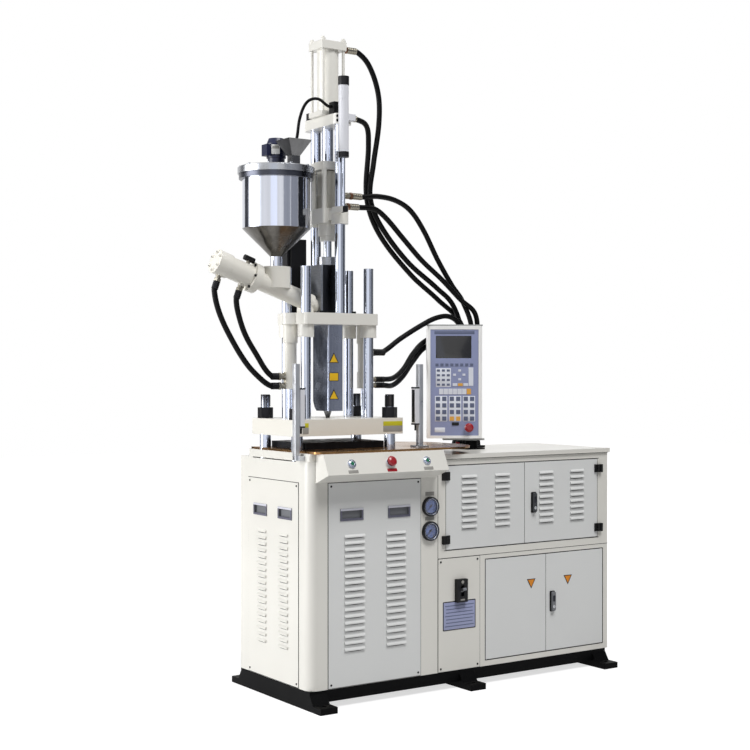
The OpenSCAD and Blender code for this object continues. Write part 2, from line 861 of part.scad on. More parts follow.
module clamp_bars() color("#c4c7cb") at_press() four(clamp_px, clamp_py) {
    bar(clamp_d, z_crosst, z_platen);
    bar(stud_d, z_cross - nut_h - 8, z_crosst);
    bar(stud_d, z_platen, z_deck + nut_h + stud_show);
}

module nut(z) difference() {
    translate([0, 0, z]) rotate(30) cylinder(d = nut_af / cos(30), h = nut_h, $fn = 6);
    bar(stud_d + 2 * seat_gap, z - e, z + nut_h + e);
}

module clamp_nuts() color("#1d1e20") at_press() four(clamp_px, clamp_py) {
    nut(z_deck);
    nut(z_cross - nut_h);
}

guide_seat = 25;
lift_seat = 20;
locating_d = 100;
sprue_d = 50;

module top_platen() color("#f0ede3") at_press() difference() {
    plate(platen_w, platen_d, z_platen, z_deck, 10);
    four(clamp_px, clamp_py) bar(stud_d + 2 * seat_gap, z_platen - e, z_deck + e);
    four(guide_px, guide_py) bar(guide_d + 2 * seat_gap, z_deck - guide_seat, z_deck + e);
    both_x(lift_px) bar(lift_d + 2 * seat_gap, z_deck - lift_seat, z_deck + e);
    bar(sprue_d, z_platen - e, z_deck + e);
    bar(locating_d, z_platen - e, z_platen + 8);
}

// Carriage of the injection unit

lift_piston_d = 36;
lift_head = 252;
lift_body = 186;
lift_sleeve = 72;

module carriage_bars() color("#d0d2d6") at_press() {
    four(guide_px, guide_py) bar(guide_d, z_deck - guide_seat, z_deck + guide_l);
    both_x(lift_px) {
        bar(lift_d, z_deck - lift_seat, z_car - 13);
        bar(lift_piston_d, z_car - 33, z_car - 13);
    }
}

carriage_w = 342;
carriage_d = 225;
lug_d = 70;
bush_d = 64;
bush_h = 50;
inj_stud_d = 30;
barrel_tube_d = 46;

module carriage_plate() color("#efece2") at_press() difference() {
    union() {
        plate(carriage_w, carriage_d, z_car, z_cart, 14);
        both_x(lift_px) bar(lug_d, z_car, z_cart);
        four(guide_px, guide_py) bar(bush_d, z_car - bush_h, z_car);
    }
    four(guide_px, guide_py) bar(guide_d + 2 * run_gap, z_car - bush_h - e, z_cart + e);
    both_y(inj_py) bar(inj_stud_d + 2 * seat_gap, z_car - e, z_cart + e);
    bar(barrel_tube_d + 2 * seat_gap, z_car - e, z_cart + e);
}

port_d = 26;
port_l = 30;
port_bore = 12;
lift_ports_right = [-106, -240, -216];
lift_ports_left = [-240, -203];

// Port with its fitting, pointing along +X from a cylinder of diameter d
module port_x(d) translate([d / 2 - 4, 0, 0]) rotate([0, 90, 0]) {
    cylinder(d = port_d, h = 10 + 4, $fn = 6);
    cylinder(d = port_d - 6, h = port_l + 4);
}

module lift_cylinders() color("#ece8dc") at_press() difference() {
    union() {
        both_x(lift_px) {
            bar(56, z_car - lift_head, z_car - lift_body);
            bar(50, z_car - lift_body, z_car - lift_sleeve);
            bar(58, z_car - lift_sleeve, z_car);
        }
        for (z = lift_ports_right) translate([lift_px / 2, 0, z_car + z]) port_x(50);
        for (z = lift_ports_left) translate([-lift_px / 2, 0, z_car + z]) mirror([1, 0, 0]) port_x(50);
    }
    both_x(lift_px) {
        bar(lift_piston_d + 2 * run_gap, z_car - lift_body, z_car - 6);
        bar(lift_d + 2 * run_gap, z_car - lift_head - e, z_car - 6);
    }
}

guard_w = 70;
guard_d = 119;
guard_t = 2;
guard_cut_y = 31;
guard_cut_z = 49;

module nozzle_guard() color("#a9adb3") at_press() difference() {
    plate(guard_w, guard_d, z_car - guard_h, z_car, 6);
    plate(guard_w - 2 * guard_t, guard_d - 2 * guard_t, z_car - guard_h - e, z_car + e, 4);
    translate([0, guard_d / 2, z_car - guard_h]) along_x(-guard_w, guard_w)
        polygon([[e, -e], [-guard_cut_y, -e], [-guard_cut_y / 2, 0.3 * guard_cut_z], [0, guard_cut_z], [e, guard_cut_z]]);
}

nozzle_gap = 0.5;
nozzle_l = 28;
heater_d = 58;
feed_x0 = -58;
feed_x1 = 42;
feed_w = 84;
collar_d = 84;
barrel_collar_h = 33;
screw_bore = screw_d + 2 * run_gap;
feeder_bore = 40;

module barrel() color("#7d8288") difference() {
    at_press() {
        translate([0, 0, z_deck + nozzle_gap]) cylinder(d1 = 14, d2 = 34, h = nozzle_l);
        bar(barrel_tube_d, z_deck + nozzle_gap + nozzle_l, z_cart);
        for (i = [0:3]) bar(heater_d, z_deck + 50 + 78 * i, z_deck + 118 + 78 * i);
        box([feed_x0, -feed_w / 2, z_cart], [feed_x1, feed_w / 2, z_feed]);
        bar(collar_d, z_feed, z_feed + barrel_collar_h);
    }
    at_press() bar(screw_bore, z_deck + nozzle_l + 12, z_feed + barrel_collar_h + e);
    at_press() bar(5, z_deck - e, z_deck + nozzle_l + 20);
    at_feeder() translate([0, 0, feeder_end]) cylinder(d = feeder_bore, h = 60);
}

cover_sheet = 2;

module feed_cover() color("#55585c") at_press() difference() {
    box([feed_x0 + 10, -feed_w / 2 - cover_sheet, z_cart], [feed_x1 + cover_sheet, feed_w / 2 + cover_sheet, z_feed]);
    box([feed_x0, -feed_w / 2, z_cart - e], [feed_x1, feed_w / 2, z_feed + e]);
}

module injection_bars() color("#d0d2d6") at_press() both_y(inj_py) {
    bar(inj_d, z_cart, z_cyl);
    bar(inj_stud_d, z_car, z_cart);
    bar(inj_stud_d, z_cyl, z_cylt - 1);
}

cyl_plate_w = 80;
cyl_plate_d = 272;

module cylinder_plate() color("#efece2") at_press() difference() {
    plate(cyl_plate_w, cyl_plate_d, z_cyl, z_cylt, 38);
    both_y(inj_py) bar(inj_stud_d + 2 * seat_gap, z_cyl - e, z_cylt + e);
    bar(ram_d + 2 * run_gap, z_cyl - e, z_cylt + e);
}

head_w = 117;
head_d = 102;
base_t = 20;
tie_d = 12;
ram_piston_d = 60;

module injection_cylinder() color("#edeae0") at_press() difference() {
    union() {
        bar(inj_cyl_d, z_cylt, z_head);
        plate(head_w, head_d, z_cylt, z_cylt + base_t, 4);
        plate(head_w, head_d, z_head, z_headt, 4);
        four(head_w - 22, head_d - 20) {
            bar(tie_d, z_cylt, z_headt + 15);
            bar(tie_d + 8, z_headt, z_headt + 9);
        }
        for (z = [z_cylt + base_t / 2, z_head + head_t / 2]) translate([0, 0, z]) port_x(head_w);
    }
    bar(ram_d + 2 * run_gap, z_cylt - e, z_cylt + base_t + e);
    bar(ram_piston_d + 2 * run_gap, z_cylt + base_t, z_head - 3);
}

// Position transducer on the front of the cylinder plate
gauge_rod = [-28, -160];
gauge_tube_d = 40;
gauge_rod_d = 12;

module transducer() color("#e4e5e8") at_press() difference() {
    union() {
        translate(gauge_rod) {
            bar(gauge_tube_d, z_cyl - 116, z_cylt + 101);
            bar(gauge_tube_d + 3, z_cylt + 101, z_cylt + 135);
            bar(gauge_tube_d + 2, z_cyl - 137, z_cyl - 116);
        }
        box([gauge_rod[0] + 12, -cyl_plate_d / 2 - 30, z_cyl + 8], [24, -cyl_plate_d / 2, z_cylt - 8]);
    }
    translate(gauge_rod) bar(gauge_rod_d + 2 * run_gap, z_cyl - 138, z_cylt + 98);
}

// Ram feeder, along its own axis, which runs down to the right

z_feeder = z_cart + 95;
z_neck = z_cart + 178;
feeder_tube = 165;
feeder_end = 170;
feeder_flange = -109;
feeder_cap = -225;
feeder_back = -282;
inlet_d = 110;
feeder_ports = [-250, -150];

module at_feeder() {
    at_hopper() translate([0, 0, z_feeder]) rotate([0, 90 + feeder_tilt, 0]) children();
}

module feeder_form() {
    at_feeder() {
        bar(feeder_d, feeder_flange, feeder_tube);
        bar(feeder_bore + 10, feeder_tube - e, 220);
        bar(116, feeder_flange - 16, feeder_flange + 14);
        bar(85, feeder_cap, feeder_flange);
        bar(95, feeder_back, feeder_cap);
        for (i = [0:5]) rotate(60 * i) translate([36, 0, 0]) bar(12, feeder_back - 6, feeder_back);
        for (s = feeder_ports) translate([0, 0, s]) port_x(80);
        translate([-62, 0, feeder_flange - 40]) bar(22, -22, 22);
        translate([-40, 0, feeder_flange - 40]) rotate([0, -90, 0]) cylinder(d = 16, h = 14);
    }
    at_hopper() bar(inlet_d, z_feeder, z_neck);
    at_press() box([-125, -30, z_cart], [-85, 30, z_cart + 34]);
}

module stuffer() color("#ece8da") difference() {
    feeder_form();
    at_feeder() bar(feeder_ram_d + 2 * run_gap, feeder_back + 40, feeder_tube - 3);
    at_feeder() bar(feeder_bore, feeder_tube - 10, 240);
    at_hopper() bar(neck_d - 4, z_feeder, z_neck + e);
    at_press() box([feed_x0, -feed_w, z_car], [feed_x1, feed_w, z_feed]);
    at_press() box([-2 * carriage_w, -carriage_d, z_car - carriage_t], [0, carriage_d, z_cart]);
}

feeder_ram_l = 140;
feeder_ram_end = -62;

module stuffer_piston() color("#b5b8bc") at_feeder()
    bar(feeder_ram_d, feeder_ram_end - feeder_ram_l, feeder_ram_end);

// Hopper

hopper_t = 2;
z_cone = z_neck + 39;
z_wall = z_cone + cone_h;
z_rim = z_wall + hopper_h;
z_rimt = z_rim + 20;
z_lid = z_rimt + 27;
rim_r = hopper_d / 2 + 13;
lid_r = hopper_d / 2 + 18;

module hopper() color("#c3c6ca") at_hopper() rotate_extrude($fn = 96)
    polygon([[neck_d / 2 - hopper_t, z_neck], [neck_d / 2, z_neck], [neck_d / 2, z_cone],
             [hopper_d / 2, z_wall], [hopper_d / 2, z_rim], [rim_r, z_rim], [rim_r, z_rimt],
             [hopper_d / 2 - hopper_t, z_rimt], [hopper_d / 2 - hopper_t, z_wall + hopper_t / 2],
             [neck_d / 2 - hopper_t, z_cone + hopper_t / 2]]);

funnel_at = [24, -92];
funnel_w = 103;
funnel_neck = 36;
funnel_neck_h = 36;
funnel_h = 60;
funnel_t = 1.5;
agitator_d = 16;
agitator_hole = 30;

module funnel(w, n) {
    translate([0, 0, funnel_neck_h]) linear_extrude(funnel_h, scale = w / n) square(n, center = true);
}

module hopper_lid() color("#b4b7bc") at_hopper() {
    difference() {
        rotate_extrude($fn = 96)
            polygon([[0, z_lid - 4], [rim_r - 5, z_lid - 4], [rim_r - 5, z_rimt], [lid_r, z_rimt],
                     [lid_r, z_lid - 3], [lid_r - 3, z_lid], [0, z_lid]]);
        bar(agitator_hole, z_lid - 5, z_lid + e);
        translate(funnel_at) box([-funnel_neck / 2 + funnel_t, -funnel_neck / 2 + funnel_t, z_lid - 5],
                                 [funnel_neck / 2 - funnel_t, funnel_neck / 2 - funnel_t, z_lid + e]);
    }
    translate([funnel_at[0], funnel_at[1], z_lid]) {
        difference() {
            translate([0, 0, funnel_neck_h / 2]) cube([funnel_neck, funnel_neck, funnel_neck_h], center = true);
            cube([funnel_neck - 2 * funnel_t, funnel_neck - 2 * funnel_t, 3 * funnel_neck_h], center = true);
        }
        difference() {
            funnel(funnel_w, funnel_neck);
            funnel(funnel_w - 2 * funnel_t, funnel_neck - 2 * funnel_t);
            translate([0, 0, funnel_neck_h + funnel_h]) cube([funnel_w, funnel_w, 0.2], center = true);
            translate([0, 0, funnel_neck_h]) cube([funnel_neck - 2 * funnel_t, funnel_neck - 2 * funnel_t, 0.2], center = true);
        }
    }
}

motor_d = 76;

module agitator_motor() color("#1d2547") at_hopper() difference() {
    union() {
        plate(78, 78, z_lid, z_lid + 8, 10);
        bar(66, z_lid, z_lid + 36);
        bar(motor_d - 6, z_lid + 36, z_lid + 92);
        for (i = [0:5]) bar(motor_d, z_lid + 36 + 10 * i, z_lid + 42 + 10 * i);
        translate([0, 0, z_lid + 92]) cylinder(d1 = motor_d, d2 = motor_d - 16, h = 20);
        box([-motor_d / 2 - 16, -20, z_lid + 42], [0, 20, z_lid + 86]);
        translate([0, 0, z_lid + 59]) rotate([0, 90, 0]) cylinder(d = cable_d + 4, h = 50);
    }
    bar(agitator_d + 2 * run_gap, z_lid - e, z_lid + 30);
}

agitator_reach = 100;

module agitator() color("#a8abb0") at_hopper() {
    bar(agitator_d, z_cone + 40, z_lid + 28);
    for (i = [0:2]) translate([0, 0, z_wall + 20 + 50 * i]) rotate([90, 0, 60 * i])
        translate([0, 0, -agitator_reach]) cylinder(d = 10, h = 2 * agitator_reach);
}

// Black boxes: wiring behind the feed block, and a junction on the cylinder plate
module terminal_boxes() color("#1e1f21") at_press() {
    box([-110, 98, z_cart], [-40, 108, z_cart + 290]);
    box([-123, 108, z_cart + 142], [-34, 192, z_cart + 302]);
    box([-40, -111, z_cylt], [-8, -73, z_cylt + 46]);
    box([-40, 76, z_cylt], [-18, 98, z_cylt + 28]);
}

// Moving injection group

hub_w = 100;
hub_d = 96;
boss_d = 66;
web_w = 50;
journal_d = 36;
bearing_d = 75;
inj_up = 110;

module injection_plate() color("#efece2") at_press() difference() {
    union() {
        plate(hub_w, hub_d, z_inj + 8, z_injt, 10);
        box([-web_w / 2, -inj_py / 2, z_inj + 18], [web_w / 2, inj_py / 2, z_injt - 9]);
        both_y(inj_py) bar(boss_d, z_inj, z_injt);
        bar(bearing_d, z_bearing + 20, z_inj + 8);
        bar(bearing_d - 12, z_bearing, z_bearing + 20);
        box([gauge_rod[0] - 10, gauge_rod[1] - 10, z_injt - 26], [gauge_rod[0] + 14, -inj_py / 2, z_injt - 4]);
        translate(gauge_rod) bar(gauge_rod_d, z_injt - 20, z_cyl + 14);
    }
    both_y(inj_py) bar(inj_d + 2 * run_gap, z_inj - e, z_injt + e);
    bar(journal_d + 2 * run_gap, z_bearing - e, z_injt - 8);
}

rod_px = 80;
rod_py = 76;
cage_rod_d = 20;
piston_t = 35;

module ram_cage() color("#e6e3da") at_press() {
    plate(hub_w, hub_d, z_cage, z_caget, 4);
    four(rod_px, rod_py) bar(cage_rod_d, z_injt, z_cage);
    bar(ram_d, z_caget, z_head - inj_up - 10);
    bar(ram_piston_d, z_head - inj_up - 10 - piston_t, z_head - inj_up - 10);
}

drive_ports = [[18, 71], [61, 85]];

module hydraulic_motor() color("#b9b8b0") at_press() {
    plate(58, 82, z_injt, z_injt + 53, 8);
    bar(82, z_injt + 53, z_cage - 5);
    for (p = drive_ports) translate([0, 0, z_injt + p[0]]) rotate([0, 90, 0]) {
        cylinder(d = 18, h = p[1]);
        translate([0, 0, p[1]]) cylinder(d = port_d, h = 14, $fn = 6);
        translate([0, 0, p[1]]) cylinder(d = port_d - 6, h = port_l);
    }
}

flight_pitch = 45;
flight_l = 455;
flight_off = 3;

module screw() color("#9a9da2") at_press() {
    z0 = z_deck + 100;
    translate([0, 0, z0])
        linear_extrude(flight_l, twist = -360 * flight_l / flight_pitch, slices = 70, segments = 10, $fn = 10)
        translate([flight_off, 0]) circle(d = screw_d - 2 * flight_off - 1);
    bar(screw_d, z0 + flight_l, z_bearing);
    bar(journal_d, z_bearing, z_injt - 9);
}

// Control box on its swivel stand

stand_w = 96;
stand_gap = 100;
swivel = [xl + table_reach + stand_gap + stand_w / 2, yf + 261];
swivel_off = 74;
spigot_d = 30;
z_box = z_rooft + 47;
z_stand = z_rooft + 36;
key_t = 1.2;
face_w = 204;
face_z0 = 12;
face_z1 = 462;
face_deep = 2;

module panel_stand() color("#222325") translate([swivel[0], swivel[1], 0]) {
    plate(stand_w, 76, z_rooft, z_rooft + 6, 8);
    bar(54, z_rooft, z_stand);
    bar(spigot_d, z_stand, z_box + 8);
    rotate(box_turn) translate([-20, 0, z_rooft + 20]) rotate([0, -90, 0]) {
        cylinder(d = 8, h = 30);
        translate([0, 0, 30]) cylinder(d1 = 18, d2 = 24, h = 16);
    }
}

// Box frame: X along the face, Y into the box, Z from its lower edge, face at y = 0
module at_box() {
    translate([swivel[0], swivel[1], z_box]) rotate(box_turn) translate([-swivel_off, -box_d / 2, 0]) children();
}

module key(x, z, w, h) {
    box([x - w / 2, face_deep - key_t, z - h / 2], [x + w / 2, face_deep + e, z + h / 2]);
}

stop_at = [61, 46];
stop_d = 38;
stop_stem = 20;

module control_box() color("#f3f3f1") at_box() difference() {
    union() {
        difference() {
            translate([0, box_d / 2, 0]) plate(box_w, box_d, 0, box_h, 6);
            box([-face_w / 2, -e, face_z0], [face_w / 2, face_deep, face_z1]);
            box([-79, -e, 340], [72, face_deep + 2, 435]);
        }
        translate([0, box_d / 2 + 4, 0]) plate(box_w + 6, box_d + 8, box_h, box_h + 5, 3);
        for (i = [0:7]) key(-74 + 21 * i, 312, 13, 12);
        for (i = [0:2], j = [0:3]) key(-68 + 21 * i, 288 - 20 * j, 13, 9);
        for (p = [[22, 288], [0, 270], [40, 270], [22, 251]]) key(p[0], p[1], 12, 9);
        for (i = [0:2]) key(2 + 23 * i, 228, 20, 12);
        key(70, 262, 20, 78);
        for (i = [0:6]) key(-56 + 19.5 * i, 199, 18, 24);
        for (g = [0:2], i = [0:1], j = [0:3]) key(-70 + 59 * g + 27 * i, 168 - 28 * j, 18, 18);
        translate([40, box_d / 2, -8]) plate(176, 70, 0, 8, 5);
        translate([swivel_off, box_d / 2, -10.5]) cylinder(d = 50, h = 10.5);
        translate([stop_at[0], face_deep, stop_at[1]]) to_front(32, 4);
    }
    translate([swivel_off, box_d / 2, -12]) cylinder(d = spigot_d + 2 * run_gap, h = 21);
    translate([stop_at[0], 24, stop_at[1]]) to_front(stop_stem + 2 * run_gap, 40);
}

module panel_stop() color("#c8202c") at_box() translate([stop_at[0], face_deep, stop_at[1]])
    mushroom(stop_d, stop_stem, 24 - face_deep - button_travel - 1, 4 + button_travel + 1);

// Hoses and cable, swept along hand-chosen points

hose_sides = 8;
cable_d = 12;

cylinder_route_top = [[-413, 0, 2559], [-365, 0, 2559], [-290, 20, 2515], [-235, 35, 2410], [-228, 40, 2290],
    [-255, 40, 2120], [-270, 42, 1985], [-215, 55, 1880], [-60, 80, 1735], [120, 110, 1628],
    [220, 128, 1560], [268, 130, 1440], [268, 130, 960]];
cylinder_route_low = [[-413, 0, 2287], [-370, 0, 2287], [-300, 25, 2270], [-265, 62, 2200], [-270, 68, 1985],
    [-200, 84, 1845], [-20, 114, 1685], [150, 142, 1580], [290, 160, 1480], [300, 130, 1340], [300, 130, 960]];
motor_route_top = [[-387, 0, 1975], [-340, 0, 1975], [-250, 15, 1985], [-150, 35, 1978], [-60, 55, 1945],
    [20, 72, 1870], [110, 88, 1745], [200, 105, 1640], [265, 116, 1575], [300, 98, 1460], [300, 98, 960]];
motor_route_low = [[-401, 0, 1932], [-350, 0, 1932], [-270, 10, 1932], [-205, 22, 1900], [-110, 38, 1825],
    [0, 55, 1738], [120, 70, 1660], [230, 85, 1580], [315, 90, 1520], [332, 98, 1410], [332, 98, 960]];
lift_route_top = [[-274, 0, 1347], [-240, 0, 1347], [-130, 25, 1405], [-10, 45, 1462], [80, 62, 1496],
    [165, 82, 1505], [230, 98, 1475], [268, 98, 1380], [268, 98, 960]];
lift_route_mid = [[-274, 0, 1237], [-240, 0, 1237], [-160, 36, 1242], [-80, 76, 1278], [0, 120, 1342],
    [92, 160, 1398], [165, 150, 1422], [222, 114, 1380], [236, 98, 1260], [236, 98, 960]];
lift_route_low = [[-274, 0, 1213], [-240, 0, 1213], [-160, 40, 1212], [-80, 80, 1248], [0, 120, 1310],
    [92, 158, 1372], [165, 150, 1395], [222, 140, 1350], [236, 130, 1230], [236, 130, 960]];
feeder_route_back = [[-997, 0, 1610], [-1008, 0, 1579], [-990, 0, 1500], [-945, 0, 1410], [-870, 0, 1300],
    [-800, 0, 1235], [-760, 0, 1213], [-730, 0, 1213]];
feeder_route_front = [[-903, 0, 1577], [-914, 0, 1546], [-905, 0, 1490], [-875, 0, 1410], [-820, 0, 1325],
    [-785, 0, 1275], [-755, 0, 1250], [-730, 0, 1250]];
cable_route = [[-542, -92, 2305], [-558, -92, 2305], [-596, -76, 2332], [-630, -54, 2320], [-652, -36, 2260],
    [-655, -16, 2180], [-666, 0, 2120], [-688, 0, 2120]];

function unit(v) = v / norm(v);

// Direction of a route at point i
function heading(r, i) = unit(r[min(i + 1, len(r) - 1)] - r[max(i - 1, 0)]);

// One ring of the tube, square to the route
function ring(r, i, d) = let (t = heading(r, i), a = unit(cross(t, [0, 1, 0])), b = cross(t, a))
    [for (k = [0:hose_sides - 1]) r[i] + d / 2 * (cos(360 * k / hose_sides) * a + sin(360 * k / hose_sides) * b)];

module tube(r, d) {
    n = len(r);
    s = hose_sides;
    polyhedron(
        points = [for (i = [0:n - 1]) each ring(r, i, d)],
        faces = concat(
            [[for (k = [0:s - 1]) s - 1 - k]],
            [for (i = [0:n - 2], k = [0:s - 1]) [i * s + k, i * s + (k + 1) % s, (i + 1) * s + (k + 1) % s]],
            [for (i = [0:n - 2], k = [0:s - 1]) [i * s + k, (i + 1) * s + (k + 1) % s, (i + 1) * s + k]],
            [[for (k = [0:s - 1]) (n - 1) * s + k]]));
}

module hydraulic_hoses() color("#141416")
    for (r = [cylinder_route_top, cylinder_route_low, motor_route_top, motor_route_low, lift_route_top,
              lift_route_mid, lift_route_low]) tube(r, hose_d);

module stuffer_hoses() color("#141416") for (r = [feeder_route_back, feeder_route_front]) tube(r, hose_d);

module agitator_cable() color("#1b1b1d") tube(cable_route, cable_d);

skid();
press_cabinet();
front_panel();
side_panel();
upper_cabinet();
lower_cabinet();
breaker_panel();
bolster();
table_top();
lower_mould_plate();
control_fascia();
pressure_gauges();
light_curtains();
clamp_cylinder();
pump_motor();
control_gear();
hose_manifold();
panel_stand();
upper_left_door();
upper_right_door();
lower_left_door();
lower_right_door();
upper_latch();
lower_latch();
start_button_left();
stop_button();
start_button_right();
upper_needle();
lower_needle();
breaker_lever();
control_box();
panel_stop();
top_platen();
clamp_bars();
clamp_nuts();
crosshead();
carriage_bars();
carriage_plate();
lift_cylinders();
nozzle_guard();
barrel();
feed_cover();
injection_bars();
cylinder_plate();
injection_cylinder();
transducer();
stuffer();
hopper();
hopper_lid();
agitator_motor();
terminal_boxes();
agitator();
stuffer_piston();
injection_plate();
ram_cage();
hydraulic_motor();
screw();
hydraulic_hoses();
stuffer_hoses();
agitator_cable();
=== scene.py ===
import math

import bmesh
import bpy
from mathutils import Matrix, Vector


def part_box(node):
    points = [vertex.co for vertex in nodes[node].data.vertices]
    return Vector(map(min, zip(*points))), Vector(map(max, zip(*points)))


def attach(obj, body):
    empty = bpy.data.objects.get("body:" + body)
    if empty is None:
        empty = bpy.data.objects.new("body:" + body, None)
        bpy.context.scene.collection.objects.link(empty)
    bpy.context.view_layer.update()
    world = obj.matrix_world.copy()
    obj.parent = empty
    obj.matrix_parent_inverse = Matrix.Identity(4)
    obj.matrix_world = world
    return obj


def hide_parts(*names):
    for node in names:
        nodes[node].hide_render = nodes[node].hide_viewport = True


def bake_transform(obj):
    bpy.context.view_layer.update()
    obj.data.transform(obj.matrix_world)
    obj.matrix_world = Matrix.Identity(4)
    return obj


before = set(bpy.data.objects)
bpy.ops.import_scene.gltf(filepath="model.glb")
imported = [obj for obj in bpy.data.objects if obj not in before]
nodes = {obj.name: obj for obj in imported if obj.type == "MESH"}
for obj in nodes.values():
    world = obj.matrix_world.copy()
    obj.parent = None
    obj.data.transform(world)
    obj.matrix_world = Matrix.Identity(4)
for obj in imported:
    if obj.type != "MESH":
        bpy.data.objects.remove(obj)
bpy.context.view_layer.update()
scene = bpy.context.scene
scene.view_settings.view_transform = "Standard"
print("frame loaded:", len(nodes), "nodes")


# Places that several pieces share, in metres, read from the solids
pressX = sum(c.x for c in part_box("cylinder_plate")) / 2
hopperX = sum(c.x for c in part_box("hopper")) / 2
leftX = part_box("press_cabinet")[0].x
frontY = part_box("press_cabinet")[0].y
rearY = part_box("press_cabinet")[1].y
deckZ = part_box("top_platen")[1].z
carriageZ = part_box("nozzle_guard")[1].z
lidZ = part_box("agitator_motor")[0].z
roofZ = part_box("upper_cabinet")[1].z
front, back, left, above = (0, -1, 0), (0, 1, 0), (-1, 0, 0), (0, 0, 1)
at = Matrix.Translation


# The photograph's camera

view = {"place": (-3.454, -4.690, 1.274), "tiltDeg": 89.805, "yawDeg": -34.135, "lens": 66.74, "sensor": 36.0,
        "farthest": 60}


def makeCamera():
    data = bpy.data.cameras.new("photoCamera")
    data.lens = view["lens"]
    data.sensor_width = view["sensor"]
    data.clip_end = view["farthest"]
    camera = bpy.data.objects.new("photoCamera", data)
    camera.location = view["place"]
    camera.rotation_euler = (math.radians(view["tiltDeg"]), 0, math.radians(view["yawDeg"]))
    scene.collection.objects.link(camera)
    scene.camera = camera


makeCamera()
print("camera set")


# Node helpers; an input takes a constant or another node's socket

def fill(tree, node, inputs):
    for label, value in inputs.items():
        if isinstance(value, bpy.types.NodeSocket):
            tree.links.new(value, node.inputs[label])
        else:
            node.inputs[label].default_value = value


def put(tree, kind, inputs=None, **values):
    node = tree.nodes.new(kind)
    for key, value in values.items():
        setattr(node, key, value)
    fill(tree, node, inputs or {})
    return node


def newGroup(name, inputs, outputs):
    tree = bpy.data.node_groups.new(name, "ShaderNodeTree")
    for label, value in inputs.items():
        kind = "NodeSocketVector" if isinstance(value, tuple) else "NodeSocketFloat"
        tree.interface.new_socket(name=label, in_out="INPUT", socket_type=kind).default_value = value
    for label in outputs:
        kind = "NodeSocketVector" if label == "Normal" else "NodeSocketFloat"
        tree.interface.new_socket(name=label, in_out="OUTPUT", socket_type=kind)
    return tree, put(tree, "NodeGroupInput").outputs, put(tree, "NodeGroupOutput")


def maths(tree, operation, a, b):
    return put(tree, "ShaderNodeMath", {0: a, 1: b}, operation=operation).outputs[0]


def spread(tree, value, low, high, newLow=0.0, newHigh=1.0):
    limits = {"From Min": low, "From Max": high, "To Min": newLow, "To Max": newHigh}
    return put(tree, "ShaderNodeMapRange", {"Value": value, **limits}).outputs["Result"]


def placeOf(tree, label="Object"):
    return put(tree, "ShaderNodeTexCoord").outputs[label]


def noise(tree, place, scale, detail=2.0):
    return put(tree, "ShaderNodeTexNoise", {"Vector": place, "Scale": scale, "Detail": detail}).outputs["Fac"]


# Shared surface effects

def makeSoftEdge():
    tree, given, end = newGroup("softEdge", {"Radius": 0.0015, "Wear": 0.3}, ("Normal", "Edge"))
    bevel = put(tree, "ShaderNodeBevel", {"Radius": given["Radius"]}, samples=4).outputs["Normal"]
    plain = put(tree, "ShaderNodeNewGeometry").outputs["Normal"]
    dot = put(tree, "ShaderNodeVectorMath", {0: bevel, 1: plain}, operation="DOT_PRODUCT").outputs["Value"]
    edge = spread(tree, maths(tree, "SUBTRACT", 1.0, dot), 0.02, 0.2)
    chips = spread(tree, noise(tree, placeOf(tree), 160), 0.45, 0.7)
    worn = maths(tree, "MULTIPLY", edge, chips)
    fill(tree, end, {"Normal": bevel, "Edge": maths(tree, "MULTIPLY", worn, given["Wear"])})
    return tree


def makePaintSkin():
    tree, given, end = newGroup("paintSkin", {"Grain": 700.0, "Patch": 3.0}, ("Height", "Patches", "Dust"))
    place = placeOf(tree)
    split = put(tree, "ShaderNodeSeparateXYZ", {0: put(tree, "ShaderNodeNewGeometry").outputs["Normal"]})
    up = spread(tree, split.outputs["Z"], 0.6, 1.0)
    fall = spread(tree, noise(tree, place, 45, 6), 0.42, 0.68)
    fill(tree, end, {"Height": noise(tree, place, given["Grain"], 1.5),
                     "Patches": noise(tree, place, given["Patch"], 4.0),
                     "Dust": maths(tree, "MULTIPLY", up, fall)})
    return tree


def makeBrushLines():
    tree, given, end = newGroup("brushLines", {"Stretch": (1.0, 1.0, 0.02), "Fineness": 900.0},
                                ("Height", "Streak", "Smudge"))
    place = placeOf(tree)
    scaled = put(tree, "ShaderNodeVectorMath", {0: place, 1: given["Stretch"]}, operation="MULTIPLY").outputs["Vector"]
    fill(tree, end, {"Height": noise(tree, scaled, given["Fineness"], 3), "Streak": noise(tree, scaled, 40),
                     "Smudge": noise(tree, place, 14, 5)})
    return tree


def makeHoseCloth():
    tree, given, end = newGroup("hoseCloth", {"Turns": 60.0}, ("Height", "Scuff"))
    waves = []
    for angle in (40, -40):
        lay = put(tree, "ShaderNodeMapping", {"Vector": placeOf(tree, "UV"), "Rotation": (0, 0, math.radians(angle))})
        wave = put(tree, "ShaderNodeTexWave", {"Scale": given["Turns"], "Vector": lay.outputs["Vector"]})
        waves.append(wave.outputs["Fac"])
    fill(tree, end, {"Height": maths(tree, "MAXIMUM", *waves), "Scuff": noise(tree, placeOf(tree), 25, 5)})
    return tree


softEdge = makeSoftEdge()
paintSkin = makePaintSkin()
brushLines = makeBrushLines()
hoseCloth = makeHoseCloth()


def effect(tree, group, **values):
    return put(tree, "ShaderNodeGroup", values, node_tree=group).outputs


def blendColour(tree, factor, a, b):
    # sockets 6 and 7 are the colours, and output 2 their blend
    return put(tree, "ShaderNodeMix", {0: factor, 6: a, 7: b}, data_type="RGBA").outputs[2]


def bumped(tree, height, strength, distance, **normal):
    inputs = {"Height": height, "Strength": strength, "Distance": distance, **normal}
    return put(tree, "ShaderNodeBump", inputs).outputs["Normal"]


def tone(r, g, b):
    # a colour out of 255, as linear light
    return tuple(c / 255 / 12.92 if c <= 10 else ((c / 255 + 0.055) / 1.055) ** 2.4 for c in (r, g, b)) + (1.0,)


